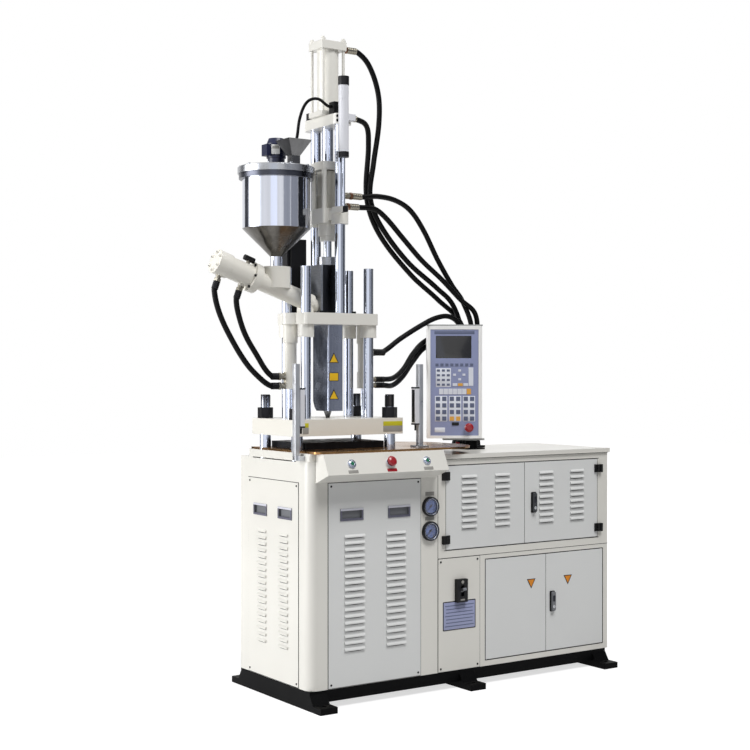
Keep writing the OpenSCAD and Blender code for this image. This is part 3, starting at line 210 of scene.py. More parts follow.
def shade(colour, factor):
    return tuple(min(1.0, c * factor) for c in colour[:3]) + (1.0,)


def newMaterial(name, rough, metallic=0.0, coat=0.0, colour=(0.8, 0.8, 0.8, 1)):
    material = bpy.data.materials.new(name)
    material.use_nodes = True
    shader = material.node_tree.nodes["Principled BSDF"]
    fill(material.node_tree, shader, {"Base Color": colour, "Roughness": rough, "Metallic": metallic,
                                      "Coat Weight": coat, "Coat Roughness": 0.08})
    return material, material.node_tree, shader


def paint(name, rgb, rough=0.32, coat=0.35, grain=650.0, peel=0.08, edge=0.0014, wear=0.15, dust=0.14, shine=0.5,
          patch=3.0, tints=(0.955, 1.035, 0.72), swing=(0.02, 0.07), depth=0.0006):
    colour = tone(*rgb)
    low, high, rimTint = (shade(colour, tint) for tint in tints)
    material, tree, shader = newMaterial(name, rough, coat=coat)
    skin = effect(tree, paintSkin, Grain=grain, Patch=patch)
    rim = effect(tree, softEdge, Radius=edge, Wear=wear)
    worn = blendColour(tree, rim["Edge"], blendColour(tree, skin["Patches"], low, high), rimTint)
    settled = maths(tree, "MULTIPLY", skin["Dust"], dust)
    fill(tree, shader, {"Specular IOR Level": shine,
                        "Base Color": blendColour(tree, settled, worn, tone(205, 200, 190)),
                        "Roughness": spread(tree, skin["Patches"], 0.3, 0.7, rough - swing[0], rough + swing[1]),
                        "Normal": bumped(tree, skin["Height"], peel, depth, Normal=rim["Normal"])})
    return material


def plastic(name, rgb, rough=0.4, texture=0.1, coat=0.0, shine=0.4):
    return paint(name, rgb, rough, coat, 1400.0, texture, 0.0008, wear=0.35, dust=0.0, shine=shine, patch=9.0,
                 tints=(0.93, 1.06, 1.3), swing=(0.06, 0.08), depth=0.0004)


def metal(name, rgb, rough, stretch=(1.0, 1.0, 0.02), fine=900.0, lines=0.1, dark=0.8):
    colour = tone(*rgb)
    material, tree, shader = newMaterial(name, rough, metallic=1.0)
    brushed = effect(tree, brushLines, Stretch=stretch, Fineness=fine)
    rim = effect(tree, softEdge, Radius=0.0008, Wear=0.4)
    streaked = blendColour(tree, spread(tree, brushed["Streak"], 0.3, 0.7), shade(colour, dark), colour)
    fill(tree, shader, {"Base Color": blendColour(tree, rim["Edge"], streaked, shade(colour, 1.15)),
                        "Roughness": spread(tree, brushed["Smudge"], 0.35, 0.7, rough * 0.75, rough * 1.45),
                        "Normal": bumped(tree, brushed["Height"], lines, 0.0002, Normal=rim["Normal"])})
    return material


def hoseRubber(name, rgb):
    colour = tone(*rgb)
    material, tree, shader = newMaterial(name, 0.42)
    cloth = effect(tree, hoseCloth)
    worn = spread(tree, cloth["Scuff"], 0.45, 0.75)
    fill(tree, shader, {"Specular IOR Level": 0.11,
                        "Base Color": blendColour(tree, worn, colour, shade(colour, 1.6)),
                        "Roughness": spread(tree, cloth["Scuff"], 0.3, 0.7, 0.34, 0.52),
                        "Normal": bumped(tree, cloth["Height"], 0.25, 0.0006)})
    return material


def clearGlass(name):
    material, tree, shader = newMaterial(name, 0.03, colour=(1, 1, 1, 1))
    skin = effect(tree, paintSkin, Grain=60.0)
    fill(tree, shader, {"Transmission Weight": 1.0, "IOR": 1.45,
                        "Roughness": spread(tree, skin["Patches"], 0.3, 0.8, 0.01, 0.07)})
    return material


long = (1.0, 1.0, 0.01)  # stretch of lines that run up the bars and the tank
finish = {
    "cream": paint("creamPaint", (226, 224, 217), coat=0.25),
    "cast": paint("castCreamPaint", (226, 223, 214), rough=0.4, coat=0.2, grain=260.0, peel=0.22, edge=0.002),
    "door": paint("doorPaint", (222, 223, 222), rough=0.38, coat=0.2),
    "box": paint("boxPaint", (244, 244, 243), rough=0.4, coat=0.15, grain=1500.0, peel=0.14),
    "boxLid": paint("boxLidPaint", (150, 152, 152), rough=0.45, coat=0.1, grain=1500.0),
    "enamel": paint("blackEnamel", (6, 6, 7), rough=0.5, coat=0.0, wear=0.4, dust=0.02, shine=0.06),
    "navy": paint("navyPaint", (16, 22, 54), rough=0.36, coat=0.15, grain=420.0, peel=0.16, dust=0.06, shine=0.35),
    "grey": paint("greyPaint", (122, 128, 134), rough=0.45, coat=0.1),
    "motorGrey": paint("motorGreyPaint", (190, 187, 176), rough=0.45, coat=0.1, grain=320.0, peel=0.2),
    "oxide": metal("blackOxide", (42, 42, 44), 0.42, fine=500.0, dark=0.7),
    "hinge": plastic("hingeBlack", (10, 10, 11), rough=0.5, shine=0.2),
    "chrome": metal("hardChrome", (202, 207, 219), 0.07, long, lines=0.02, dark=0.93),
    "table": metal("oiledTable", (168, 128, 84), 0.24, (0.03, 1.0, 1.0), lines=0.14, dark=0.62),
    "tank": metal("polishedTank", (216, 219, 229), 0.10, long, lines=0.05, dark=0.86),
    "cone": metal("spunCone", (104, 101, 97), 0.22, (1.0, 1.0, 0.3), fine=600.0, lines=0.12, dark=0.62),
    "rim": metal("rimSteel", (78, 80, 88), 0.28, (1.0, 1.0, 8.0)),
    "funnel": metal("funnelSteel", (112, 112, 113), 0.3, (1.0, 1.0, 0.05), lines=0.12, dark=0.75),
    "brushed": metal("brushedSteel", (176, 178, 182), 0.27, lines=0.16),
    "guard": metal("guardSteel", (176, 181, 196), 0.2, (1.0, 1.0, 0.015), dark=0.7),
    "machined": metal("machinedSteel", (150, 152, 156), 0.32, (1.0, 1.0, 6.0), lines=0.12),
    "darkSteel": metal("darkCoverSteel", (46, 47, 50), 0.36, (1.0, 1.0, 0.05), dark=0.7),
    "copper": metal("copperFitting", (132, 96, 74), 0.34, lines=0.05),
    "zinc": metal("zincFitting", (150, 145, 132), 0.34, lines=0.08),
    "alloy": metal("anodisedAlloy", (205, 207, 210), 0.34, lines=0.12),
    "white": plastic("whitePlastic", (216, 217, 223), rough=0.35),
    "black": plastic("blackPlastic", (13, 13, 15), rough=0.45, shine=0.25),
    "red": plastic("redPlastic", (156, 22, 34), rough=0.26, coat=0.3, texture=0.02),
    "green": plastic("greenPlastic", (14, 108, 74), rough=0.26, coat=0.3, texture=0.02),
    "membrane": plastic("keypadMembrane", (142, 150, 186), rough=0.42, texture=0.16),
    "key": plastic("slateKey", (92, 100, 126), rough=0.45),
    "keyWhite": plastic("whiteKey", (222, 226, 236), rough=0.42),
    "keyAmber": plastic("amberKey", (226, 168, 72), rough=0.42),
    "screen": plastic("screenBlack", (24, 24, 27), rough=0.12, texture=0.0, coat=0.5),
    "amber": plastic("amberSign", (226, 138, 28), texture=0.03),
    "signEdge": plastic("signEdge", (30, 28, 26), texture=0.03),
    "yellow": plastic("yellowPlate", (222, 178, 30), rough=0.38, texture=0.03),
    "lime": plastic("limePlate", (196, 190, 40), texture=0.03),
    "plateGrey": plastic("greyPlate", (150, 148, 143), rough=0.42, texture=0.05),
    "platePale": plastic("palePlate", (214, 214, 212), texture=0.05),
    "infoBlue": plastic("infoPlate", (156, 162, 196), rough=0.36, texture=0.03),
    "pull": plastic("greyPull", (200, 201, 211), rough=0.36),
    # dark grey of the pulls' inner faces, partly the pulls' own dark plastic and partly painted recess shade
    "pullDarkAndShade": plastic("darkPullAndShade", (92, 92, 108), rough=0.36),
    "dial": plastic("dialFace", (84, 102, 156), texture=0.0),
    "ink": plastic("dialInk", (22, 24, 34), rough=0.5, texture=0.0),
    # painted shade: a near-black finish laid in gaps, under louvres and along cover and seam edges where shade falls
    "paintedShade": plastic("paintedShadeBlack", (16, 16, 18), rough=0.6, shine=0.15),
    "latchDark": plastic("darkLatch", (58, 60, 64), rough=0.35),
    # grey of the lower latch, also laid on the backs of the pulls as painted recess shade
    "latchGreyAndPullShade": plastic("greyLatchAndPullShade", (112, 114, 118), rough=0.35),
    "rubber": hoseRubber("hoseRubber", (4, 4, 5)),
    "glass": clearGlass("gaugeGlass"),
}
print("finishes made:", len(finish))


# Mesh helpers: each adds a form to a gathering mesh

def pour(gather, form, matrix, index):
    bmesh.ops.transform(form, matrix=matrix, verts=form.verts)
    for face in form.faces:
        face.material_index = index
    mesh = bpy.data.meshes.new("pour")
    form.to_mesh(mesh)
    form.free()
    gather.from_mesh(mesh)
    bpy.data.meshes.remove(mesh)


def polar(radius, turn):
    return radius * math.cos(turn), radius * math.sin(turn)


def ringOutline(radius, steps):
    return [polar(radius, 2 * math.pi * i / steps) for i in range(steps)]


def roundOutline(width, height, radius, steps=5):
    points = []
    for cx, cy, first in ((1, 1, 0), (-1, 1, 90), (-1, -1, 180), (1, -1, 270)):
        for i in range(steps + 1):
            x, y = polar(radius, math.radians(first + 90 * i / steps))
            points.append((cx * (width / 2 - radius) + x, cy * (height / 2 - radius) + y))
    return points


def addBox(gather, size, matrix, index=0, bevel=0.0):
    form = bmesh.new()
    bmesh.ops.create_cube(form, size=1.0)
    bmesh.ops.scale(form, vec=size, verts=form.verts)
    if bevel:
        bmesh.ops.bevel(form, geom=form.edges, offset=bevel, segments=2, affect="EDGES", profile=0.5)
    pour(gather, form, matrix, index)


def addTurned(gather, profile, matrix, index=0, steps=32, close=False):
    form = bmesh.new()
    rings = []
    for radius, z in profile:
        outline = ringOutline(radius, steps) if radius else [(0, 0)]
        rings.append([form.verts.new((x, y, z)) for x, y in outline])
    for low, high in zip(rings, rings[1:] + (rings[:1] if close else [])):
        for i in range(steps):
            j = (i + 1) % steps
            if len(low) == 1:
                form.faces.new((low[0], high[j], high[i]))
            elif len(high) == 1:
                form.faces.new((low[i], low[j], high[0]))
            else:
                form.faces.new((low[i], low[j], high[j], high[i]))
    bmesh.ops.recalc_face_normals(form, faces=form.faces)
    pour(gather, form, matrix, index)


def addPrism(gather, outline, depth, matrix, index=0, bevel=0.0):
    form = bmesh.new()
    face = form.faces.new([form.verts.new((x, y, 0)) for x, y in outline])
    grown = bmesh.ops.extrude_face_region(form, geom=[face])["geom"]
    bmesh.ops.translate(form, vec=(0, 0, depth), verts=[v for v in grown if isinstance(v, bmesh.types.BMVert)])
    bmesh.ops.recalc_face_normals(form, faces=form.faces)
    if bevel:
        top = [e for e in form.edges if all(v.co.z > depth * 0.99 for v in e.verts)]
        bmesh.ops.bevel(form, geom=top, offset=bevel, segments=2, affect="EDGES", profile=0.5)
    pour(gather, form, matrix, index)


def addPlate(gather, width, height, matrix, index=0, thick=0.0008, radius=0.0015):
    addPrism(gather, roundOutline(width, height, radius), thick, matrix, index, bevel=thick * 0.3)


def newPiece(name, gather, materials, body, angle=35):
    mesh = bpy.data.meshes.new(name)
    gather.to_mesh(mesh)
    gather.free()
    for key in materials:
        mesh.materials.append(finish[key])
    for polygon in mesh.polygons:
        polygon.use_smooth = True
    mesh.set_sharp_from_angle(angle=math.radians(angle))
    piece = bpy.data.objects.new(name, mesh)
    scene.collection.objects.link(piece)
    if body:
        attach(piece, body)
    return piece


def facing(place, outward, up=above):
    z = Vector(outward).normalized()
    x = Vector(up).cross(z).normalized()
    return at(place) @ Matrix((x, z.cross(x), z)).transposed().to_4x4()


# Hoses and cable, along the same points as the solids

hoses = {
    "diameter": 0.022, "cableDiameter": 0.012, "sides": 14, "step": 0.012, "riderStep": 0.0084, "sharp": 60,
    "cylinderTop": [(-0.413, 0, 2.559), (-0.365, 0, 2.559), (-0.29, 0.02, 2.515), (-0.235, 0.035, 2.41),
                    (-0.228, 0.04, 2.29), (-0.255, 0.04, 2.12), (-0.27, 0.042, 1.985), (-0.215, 0.055, 1.88),
                    (-0.06, 0.08, 1.735), (0.12, 0.11, 1.628), (0.22, 0.128, 1.56), (0.268, 0.13, 1.44),
                    (0.268, 0.13, 0.96)],
    "cylinderLow": [(-0.413, 0, 2.287), (-0.37, 0, 2.287), (-0.3, 0.025, 2.27), (-0.265, 0.062, 2.2),
                    (-0.27, 0.068, 1.985), (-0.2, 0.084, 1.845), (-0.02, 0.114, 1.685), (0.15, 0.142, 1.58),
                    (0.29, 0.16, 1.48), (0.3, 0.13, 1.34), (0.3, 0.13, 0.96)],
    "motorTop": [(-0.387, 0, 1.975), (-0.34, 0, 1.975), (-0.25, 0.015, 1.985), (-0.15, 0.035, 1.978),
                 (-0.06, 0.055, 1.945), (0.02, 0.072, 1.87), (0.11, 0.088, 1.745), (0.2, 0.105, 1.64),
                 (0.265, 0.116, 1.575), (0.3, 0.098, 1.46), (0.3, 0.098, 0.96)],
    "motorLow": [(-0.401, 0, 1.932), (-0.35, 0, 1.932), (-0.27, 0.01, 1.932), (-0.205, 0.022, 1.9),
                 (-0.11, 0.038, 1.825), (0, 0.055, 1.738), (0.12, 0.07, 1.66), (0.23, 0.085, 1.58),
                 (0.315, 0.09, 1.52), (0.332, 0.098, 1.41), (0.332, 0.098, 0.96)],
    "liftTop": [(-0.274, 0, 1.347), (-0.24, 0, 1.347), (-0.13, 0.025, 1.405), (-0.01, 0.045, 1.462),
                (0.08, 0.062, 1.496), (0.165, 0.082, 1.505), (0.23, 0.098, 1.475), (0.268, 0.098, 1.38),
                (0.268, 0.098, 0.96)],
    "liftMid": [(-0.274, 0, 1.237), (-0.24, 0, 1.237), (-0.16, 0.036, 1.242), (-0.08, 0.076, 1.278), (0, 0.12, 1.342),
                (0.092, 0.16, 1.398), (0.165, 0.15, 1.422), (0.222, 0.114, 1.38), (0.236, 0.098, 1.26),
                (0.236, 0.098, 0.96)],
    "liftLow": [(-0.274, 0, 1.213), (-0.24, 0, 1.213), (-0.16, 0.04, 1.212), (-0.08, 0.08, 1.248), (0, 0.12, 1.31),
                (0.092, 0.158, 1.372), (0.165, 0.15, 1.395), (0.222, 0.14, 1.35), (0.236, 0.13, 1.23),
                (0.236, 0.13, 0.96)],
    "feederBack": [(-0.997, 0, 1.61), (-1.008, 0, 1.579), (-0.99, 0, 1.5), (-0.945, 0, 1.41), (-0.87, 0, 1.3),
                   (-0.8, 0, 1.235), (-0.76, 0, 1.213), (-0.73, 0, 1.213)],
    "feederFront": [(-0.903, 0, 1.577), (-0.914, 0, 1.546), (-0.905, 0, 1.49), (-0.875, 0, 1.41), (-0.82, 0, 1.325),
                    (-0.785, 0, 1.275), (-0.755, 0, 1.25), (-0.73, 0, 1.25)],
    "cable": [(-0.542, -0.092, 2.305), (-0.558, -0.092, 2.305), (-0.596, -0.076, 2.332), (-0.63, -0.054, 2.32),
              (-0.652, -0.036, 2.26), (-0.655, -0.016, 2.18), (-0.666, 0, 2.12), (-0.688, 0, 2.12)],
}
lifted = ("carriage", "platen", "base")  # bodies that a hose passes between
driven = ("injection",) + lifted
chains = {"cylinderTop": lifted, "cylinderLow": lifted, "motorTop": driven, "motorLow": driven,
          "liftTop": lifted, "liftMid": lifted, "liftLow": lifted}


def smoothRoute(points, step):
    knots = [Vector(p) for p in points]
    line = []
    for i, (p1, p2) in enumerate(zip(knots, knots[1:])):
        p0, p3 = knots[max(i - 1, 0)], knots[min(i + 2, len(knots) - 1)]
        span = (p2 - p1).length
        m1, m2 = (p2 - p0).normalized() * span, (p3 - p1).normalized() * span
        count = max(2, round(span / step))
        for k in range(count):
            t = k / count
            line.append(p1 * (2 * t ** 3 - 3 * t ** 2 + 1) + m1 * (t ** 3 - 2 * t ** 2 + t)
                        + p2 * (-2 * t ** 3 + 3 * t ** 2) + m2 * (t ** 3 - t ** 2))
    return line + [knots[-1]]


def addTube(gather, line, radius, sides):
    layer = gather.loops.layers.uv.verify()
    side = Vector((0, 1, 0))
    rings = []
    for i, p in enumerate(line):
        along = (line[min(i + 1, len(line) - 1)] - line[max(i - 1, 0)]).normalized()
        side = (side - along * side.dot(along)).normalized()
        other = along.cross(side)
        rings.append([gather.verts.new(p + u * side + v * other) for u, v in ringOutline(radius, sides)])
    run = 0.0
    for i in range(len(rings) - 1):
        ahead = run + (line[i + 1] - line[i]).length
        for k in range(sides):
            j = (k + 1) % sides
            face = gather.faces.new((rings[i][k], rings[i][j], rings[i + 1][j], rings[i + 1][k]))
            for loop, uv in zip(face.loops, ((k, run), (k + 1, run), (k + 1, ahead), (k, ahead))):
                loop[layer].uv = (uv[0] / sides, uv[1] / (2 * math.pi * radius))
        run = ahead
    gather.faces.new(rings[0][::-1])
    gather.faces.new(rings[-1])


def newHose(name, line, diameter, body=None):
    gather = bmesh.new()
    addTube(gather, line, diameter / 2, hoses["sides"])
    return newPiece("hose_" + name, gather, ["rubber"], body, angle=hoses["sharp"])


def makeHose(name, bodies, replaced):
    line = smoothRoute(hoses[name], hoses["step"])
    spans = len(bodies) - 1
    cuts = [round(i * (len(line) - 1) / spans) for i in range(spans + 1)]
    for i in range(spans):
        part = line[cuts[i]:cuts[i + 1] + 1]
        piece = newHose(f"{name}_{i + 1}", part, hoses["diameter"])
        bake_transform(piece)
        if replaced and i == 0:
            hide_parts("hydraulic_hoses")


def makeRider(name, diameter, node):
    line = smoothRoute(hoses[name], hoses["riderStep"])
    piece = newHose(name, line, diameter, "carriage")
    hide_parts(node)


for hoseName, chain in chains.items():
    makeHose(hoseName, chain, hoseName == "cylinderTop")
makeRider("feederBack", hoses["diameter"], "stuffer_hoses")
makeRider("feederFront", hoses["diameter"], "stuffer_hoses")
makeRider("cable", hoses["cableDiameter"], "agitator_cable")
print("hoses laid")


# Crimped ends of the hoses

ferrule = {"wide": 0.0135, "slim": 0.0117, "bore": 0.0112, "long": 0.044, "short": 0.030, "grooves": 4, "deep": 0.0012,
           "nut": 0.0145, "nutBore": 0.0101, "nutLength": 0.012, "chamfer": 0.001}


def sleeve(bore, radius, length, middle=()):
    cut = ferrule["chamfer"]
    return [(bore, 0.0), (radius - cut, 0.0), (radius, cut), *middle,
            (radius, length - cut), (radius - cut, length), (bore, length)]


def addFerrule(gather, start, along, radius, length):
    groove = length / (2 * ferrule["grooves"] + 1)
    middle = []
    for i in range(ferrule["grooves"]):
        z, root = groove * (2 * i + 1), radius - ferrule["deep"]
        middle += [(radius, z), (root, z + groove * 0.25), (root, z + groove * 0.75), (radius, z + groove)]
    profile = sleeve(ferrule["bore"], radius, length, middle)
    addTurned(gather, profile, facing(start, along, up=back), 0, steps=28, close=True)
    if radius > ferrule["slim"]:
        nut = facing(Vector(start) - along.normalized() * ferrule["nutLength"], along, up=back)
        profile = sleeve(ferrule["nutBore"], ferrule["nut"], ferrule["nutLength"])
        addTurned(gather, profile, nut, 1, steps=6, close=True)


def makeFerrules(name, body, materials, routes, slim=(), atEnd=(False,), length=ferrule["long"]):
    gather = bmesh.new()
    for route in routes:
        for end in atEnd:
            points = [Vector(p) for p in (hoses[route][::-1] if end else hoses[route])]
            radius = ferrule["slim" if route in slim else "wide"]
            addFerrule(gather, points[0], points[1] - points[0], radius, length)
    newPiece(name, gather, materials, body)


makeFerrules("cylinderFerrules", "carriage", ["zinc", "copper"], ("cylinderTop", "cylinderLow"))
makeFerrules("feederFerrules", "carriage", ["oxide", "zinc"], ("feederBack", "feederFront"), atEnd=(False, True),
             length=ferrule["short"])
makeFerrules("liftFerrules", "carriage", ["black", "black"], ("liftTop", "liftMid", "liftLow"),
             slim=("liftMid", "liftLow"))
makeFerrules("motorFerrules", "injection", ["zinc", "copper"], ("motorTop", "motorLow"))
makeFerrules("manifoldFerrules", "base", ["oxide", "oxide"], chains, atEnd=(True,))
print("hose ends crimped")


# Finishes of the solids; a test picks the faces that differ

def dress(name, base, *regions):
    mesh = nodes[name].data
    mesh.materials.clear()
    for key in [base] + [key for test, key in regions]:
        mesh.materials.append(finish[key])
    for polygon in mesh.polygons:
        polygon.material_index = 0
        for i, (test, key) in enumerate(regions):
            if test(polygon.center, polygon.normal):
                polygon.material_index = i + 1
                break


def within(c, x, z, halfX, halfZ):
    return abs(c.x - x) < halfX and abs(c.z - z) < halfZ


plainFinishes = {
    "enamel": ("skid",), "cast": ("top_platen",), "table": ("table_top",), "alloy": ("breaker_lever",),
    "cream": ("press_cabinet", "bolster", "carriage_plate", "cylinder_plate"),
    "grey": ("clamp_cylinder", "pump_motor", "control_gear", "crosshead"),
    "oxide": ("lower_mould_plate", "hose_manifold", "clamp_nuts"),
    "chrome": ("carriage_bars", "injection_bars", "screw"), "guard": ("nozzle_guard",),
    "black": ("pressure_gauges", "terminal_boxes"), "red": ("stop_button", "panel_stop"),
    "ink": ("upper_needle", "lower_needle"), "darkSteel": ("feed_cover",), "machined": ("stuffer_piston",),
    "brushed": ("agitator",), "latchDark": ("upper_latch",), "latchGreyAndPullShade": ("lower_latch",),
    "rubber": ("hydraulic_hoses", "stuffer_hoses", "agitator_cable"),
}
for key, names in plainFinishes.items():
    for name in names:
        dress(name, key)

doors = {"proud": 0.0003, "paintedShade": (0.0001, 0.03), "roofLip": 0.0185, "louvreTop": 0.06,
         "hinges": {"upper_left_door": -0.115, "upper_right_door": 0.705}, "hingeReach": 0.021,
         "latches": {"upper_right_door": (0.343, 0.724), "lower_right_door": (0.446, 0.303)},
         "latchHalf": (0.0137, 0.0432)}
proudY = frontY - doors["proud"]


def inGap(c, n):
    return abs(n.y) < 0.3 and doors["paintedShade"][0] < c.y - frontY < doors["paintedShade"][1]


def onSlot(c, n):
    return n.z < -0.6 and (c.y < proudY or c.x < leftX - doors["proud"]) and c.z < roofZ - doors["louvreTop"]


def onHinge(door):
    return lambda c, n: c.y < proudY and abs(c.x - doors["hinges"][door]) < doors["hingeReach"]


def onLatch(door):
    return lambda c, n: c.y < proudY and within(c, *doors["latches"][door], *doors["latchHalf"])


# painted shade: faces inside the door gaps and the louvres' undersides are coloured near black
gapShade, slotShade = (inGap, "paintedShade"), (onSlot, "paintedShade")
dress("upper_cabinet", "cream", (lambda c, n: c.y < proudY and c.z < roofZ - doors["roofLip"], "hinge"), gapShade)
dress("lower_cabinet", "cream", gapShade)
dress("upper_left_door", "door", (onHinge("upper_left_door"), "hinge"), gapShade, slotShade)
dress("upper_right_door", "door", (onHinge("upper_right_door"), "hinge"), (onLatch("upper_right_door"), "black"),
      gapShade, slotShade)
dress("lower_left_door", "door", gapShade)
dress("lower_right_door", "door", (onLatch("lower_right_door"), "black"), gapShade)

pull = {"frontX": (-0.563, -0.343), "sideY": (0.1025, -0.0885), "z": 0.726, "half": (0.0527, 0.0232), "back": 0.001,
        "reach": (-0.2, 0.05), "proud": 0.003, "rim": 0.008, "rimGap": 0.001, "thick": 0.0005}


def onPull(c):
    wide, high = pull["half"]
    onFront = c.y < pull["reach"][0] and min(abs(c.x - x) for x in pull["frontX"]) < wide
    onSide = c.x < leftX + pull["reach"][1] and min(abs(c.y - y) for y in pull["sideY"]) < wide
    return abs(c.z - pull["z"]) <= high and (onFront or onSide)


def onPullBack(c, n):
    return onPull(c) and (n.y < -0.9 and c.y > frontY + pull["back"] or n.x < -0.9 and c.x > leftX + pull["back"])


# painted shade: the pulls' recess backs and sides are coloured dark, partly their own dark plastic and partly painted
# recess shade
for name, base in (("front_panel", "door"), ("side_panel", "cream")):
    dress(name, base, (onPullBack, "latchGreyAndPullShade"), (lambda c, n: onPull(c), "pullDarkAndShade"), slotShade)

breaker = {"x": -0.044, "z": 0.392, "half": (0.0268, 0.0463), "proud": 0.0022}
dress("breaker_panel", "cream", (lambda c, n: c.y < frontY - breaker["proud"]
                                 and within(c, breaker["x"], breaker["z"], *breaker["half"]), "black"))

fascia = {"tilt": 25.346, "y": -0.3375, "z": 0.923, "buttons": (-0.609, -0.433, -0.261), "bezel": 0.0172,
          "bezelFoot": 0.0002, "cap": 0.0113, "capTop": 0.008,
          "trim": ((0.0076, 0), (0.0080, 0.0007), (0.0108, 0.0007), (0.0119, 0))}
startButtons = {"start_button_left": fascia["buttons"][0], "start_button_right": fascia["buttons"][2]}


def fasciaPlace(x, up=0.0, out=0.0):
    lean = math.radians(fascia["tilt"])
    outward = Vector((0, -math.cos(lean), math.sin(lean)))
    upward = Vector((0, math.sin(lean), math.cos(lean)))
    return facing(Vector((x, fascia["y"], fascia["z"])) + upward * up + outward * out, outward)


def onBezel(c, n):
    spots = [fasciaPlace(x).inverted() @ c for x in fascia["buttons"]]
    return any(spot.xy.length < fascia["bezel"] and spot.z > fascia["bezelFoot"] for spot in spots)


dress("control_fascia", "cream", (onBezel, "chrome"))
for name, x in startButtons.items():
    dress(name, "green", (lambda c, n: (fasciaPlace(x).inverted() @ c).xy.length > fascia["cap"], "chrome"))

curtain = {"x": (-0.750, -0.220), "half": 0.0102, "rise": (1.0575, 1.2075), "rod": 0.0045,
           "window": (0.0008, 0.018, 0.128), "cap": (0.0212, 0.0292, 0.006), "bevel": 0.001}


def onCurtain(c, half, low, high):
    return min(abs(c.x - x) for x in curtain["x"]) < half and low < c.z < high


curtainLow, curtainHigh = curtain["rise"]
dress("light_curtains", "alloy",
      (lambda c, n: onCurtain(c, curtain["half"], curtainLow - 0.001, curtainHigh + 0.001), "white"),
      (lambda c, n: onCurtain(c, curtain["rod"], 0.0, curtainLow), "black"))

# where one finish gives way to the next on the press and the injection unit
unit = {"step": 0.001, "cageFoot": 0.185, "liftPort": (0.1985, 0.073, 0.016), "barrel": 0.0235, "port": 0.0125,
        "portX": (0.045, 0.08), "tubeCap": 0.0342, "tubeFoot": 0.0212, "rod": (-0.028, -0.160, 0.0064),
        "switchY": -0.146, "motorPort": 0.0416, "rim": 0.0205, "cone": (1.716, 1.822), "lid": 0.002,
        "mixerFoot": 0.0085, "mixerBox": 0.039}
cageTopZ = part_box("ram_cage")[0].z + unit["cageFoot"] + unit["step"]
tubeLow, tubeHigh = (c.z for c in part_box("transducer"))
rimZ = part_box("hopper")[1].z - unit["rim"]
rodX, rodY, rodRadius = unit["rod"]


def onLiftPort(c, n):
    out, down, half = unit["liftPort"]
    return abs(c.x - pressX) > out and c.z < carriageZ - down and abs(c.y) < half


def onCylinderPort(c, n):
    offAxis = min(math.hypot(c.y, c.z - hoses[hose][0][2]) for hose in ("cylinderTop", "cylinderLow"))
    foot, stem = unit["portX"]
    return offAxis < unit["port"] and c.x > pressX + foot and (abs(n.x) < 0.9 or c.x > pressX + stem)


dress("clamp_bars", "chrome", (lambda c, n: c.z > deckZ + unit["step"], "oxide"))
dress("ram_cage", "cream", (lambda c, n: c.z > cageTopZ, "chrome"))
dress("lift_cylinders", "cast", (onLiftPort, "zinc"))
dress("barrel", "machined",
      (lambda c, n: c.z < carriageZ and math.hypot(c.x - pressX, c.y) > unit["barrel"], "brushed"))
dress("injection_cylinder", "cream", (onCylinderPort, "zinc"))
dress("transducer", "white",
      (lambda c, n: not tubeLow + unit["tubeFoot"] <= c.z <= tubeHigh - unit["tubeCap"], "black"))
dress("injection_plate", "cream", (lambda c, n: math.hypot(c.x - pressX - rodX, c.y - rodY) < rodRadius, "chrome"),
      (lambda c, n: c.y < unit["switchY"], "black"))
dress("hydraulic_motor", "motorGrey", (lambda c, n: c.x > pressX + unit["motorPort"], "zinc"))
dress("hopper", "tank", (lambda c, n: c.z > rimZ, "rim"),
      (lambda c, n: unit["cone"][0] < c.z < unit["cone"][1], "cone"))
dress("hopper_lid", "brushed", (lambda c, n: c.z > lidZ + unit["lid"], "funnel"))
dress("agitator_motor", "navy", (lambda c, n: c.z < lidZ + unit["mixerFoot"], "motorGrey"),
      (lambda c, n: c.x > hopperX + unit["mixerBox"], "black"))

# in the feeder's own axes: how far out, half width and span along it
feeder = {"z": 1.593, "tilt": 109.5, "plug": (-0.0495, 0.0115, -0.172, -0.126),
          "stem": (-0.0425, 0.0085, -0.160, -0.140), "port": (0.048, 0.016, -0.13)}
feederAxis = at((hopperX, 0, feeder["z"])) @ Matrix.Rotation(math.radians(feeder["tilt"]), 4, "Y")
feederOut = feederAxis.to_3x3() @ Vector((0, 0, -1))
alongFeeder = feederAxis.inverted()


def onFitting(reach, half, low, high):
    def test(c, n):
        local = alongFeeder @ c
        return local.x < reach and abs(local.y) < half and low < local.z < high
    return test


def onFeederPort(c, n):
    local = alongFeeder @ c
    reach, half, high = feeder["port"]
    return local.x > reach and abs(local.y) < half and local.z < high


dress("stuffer", "cast", (onFitting(*feeder["plug"]), "black"), (onFitting(*feeder["stem"]), "zinc"),
      (onFeederPort, "zinc"))

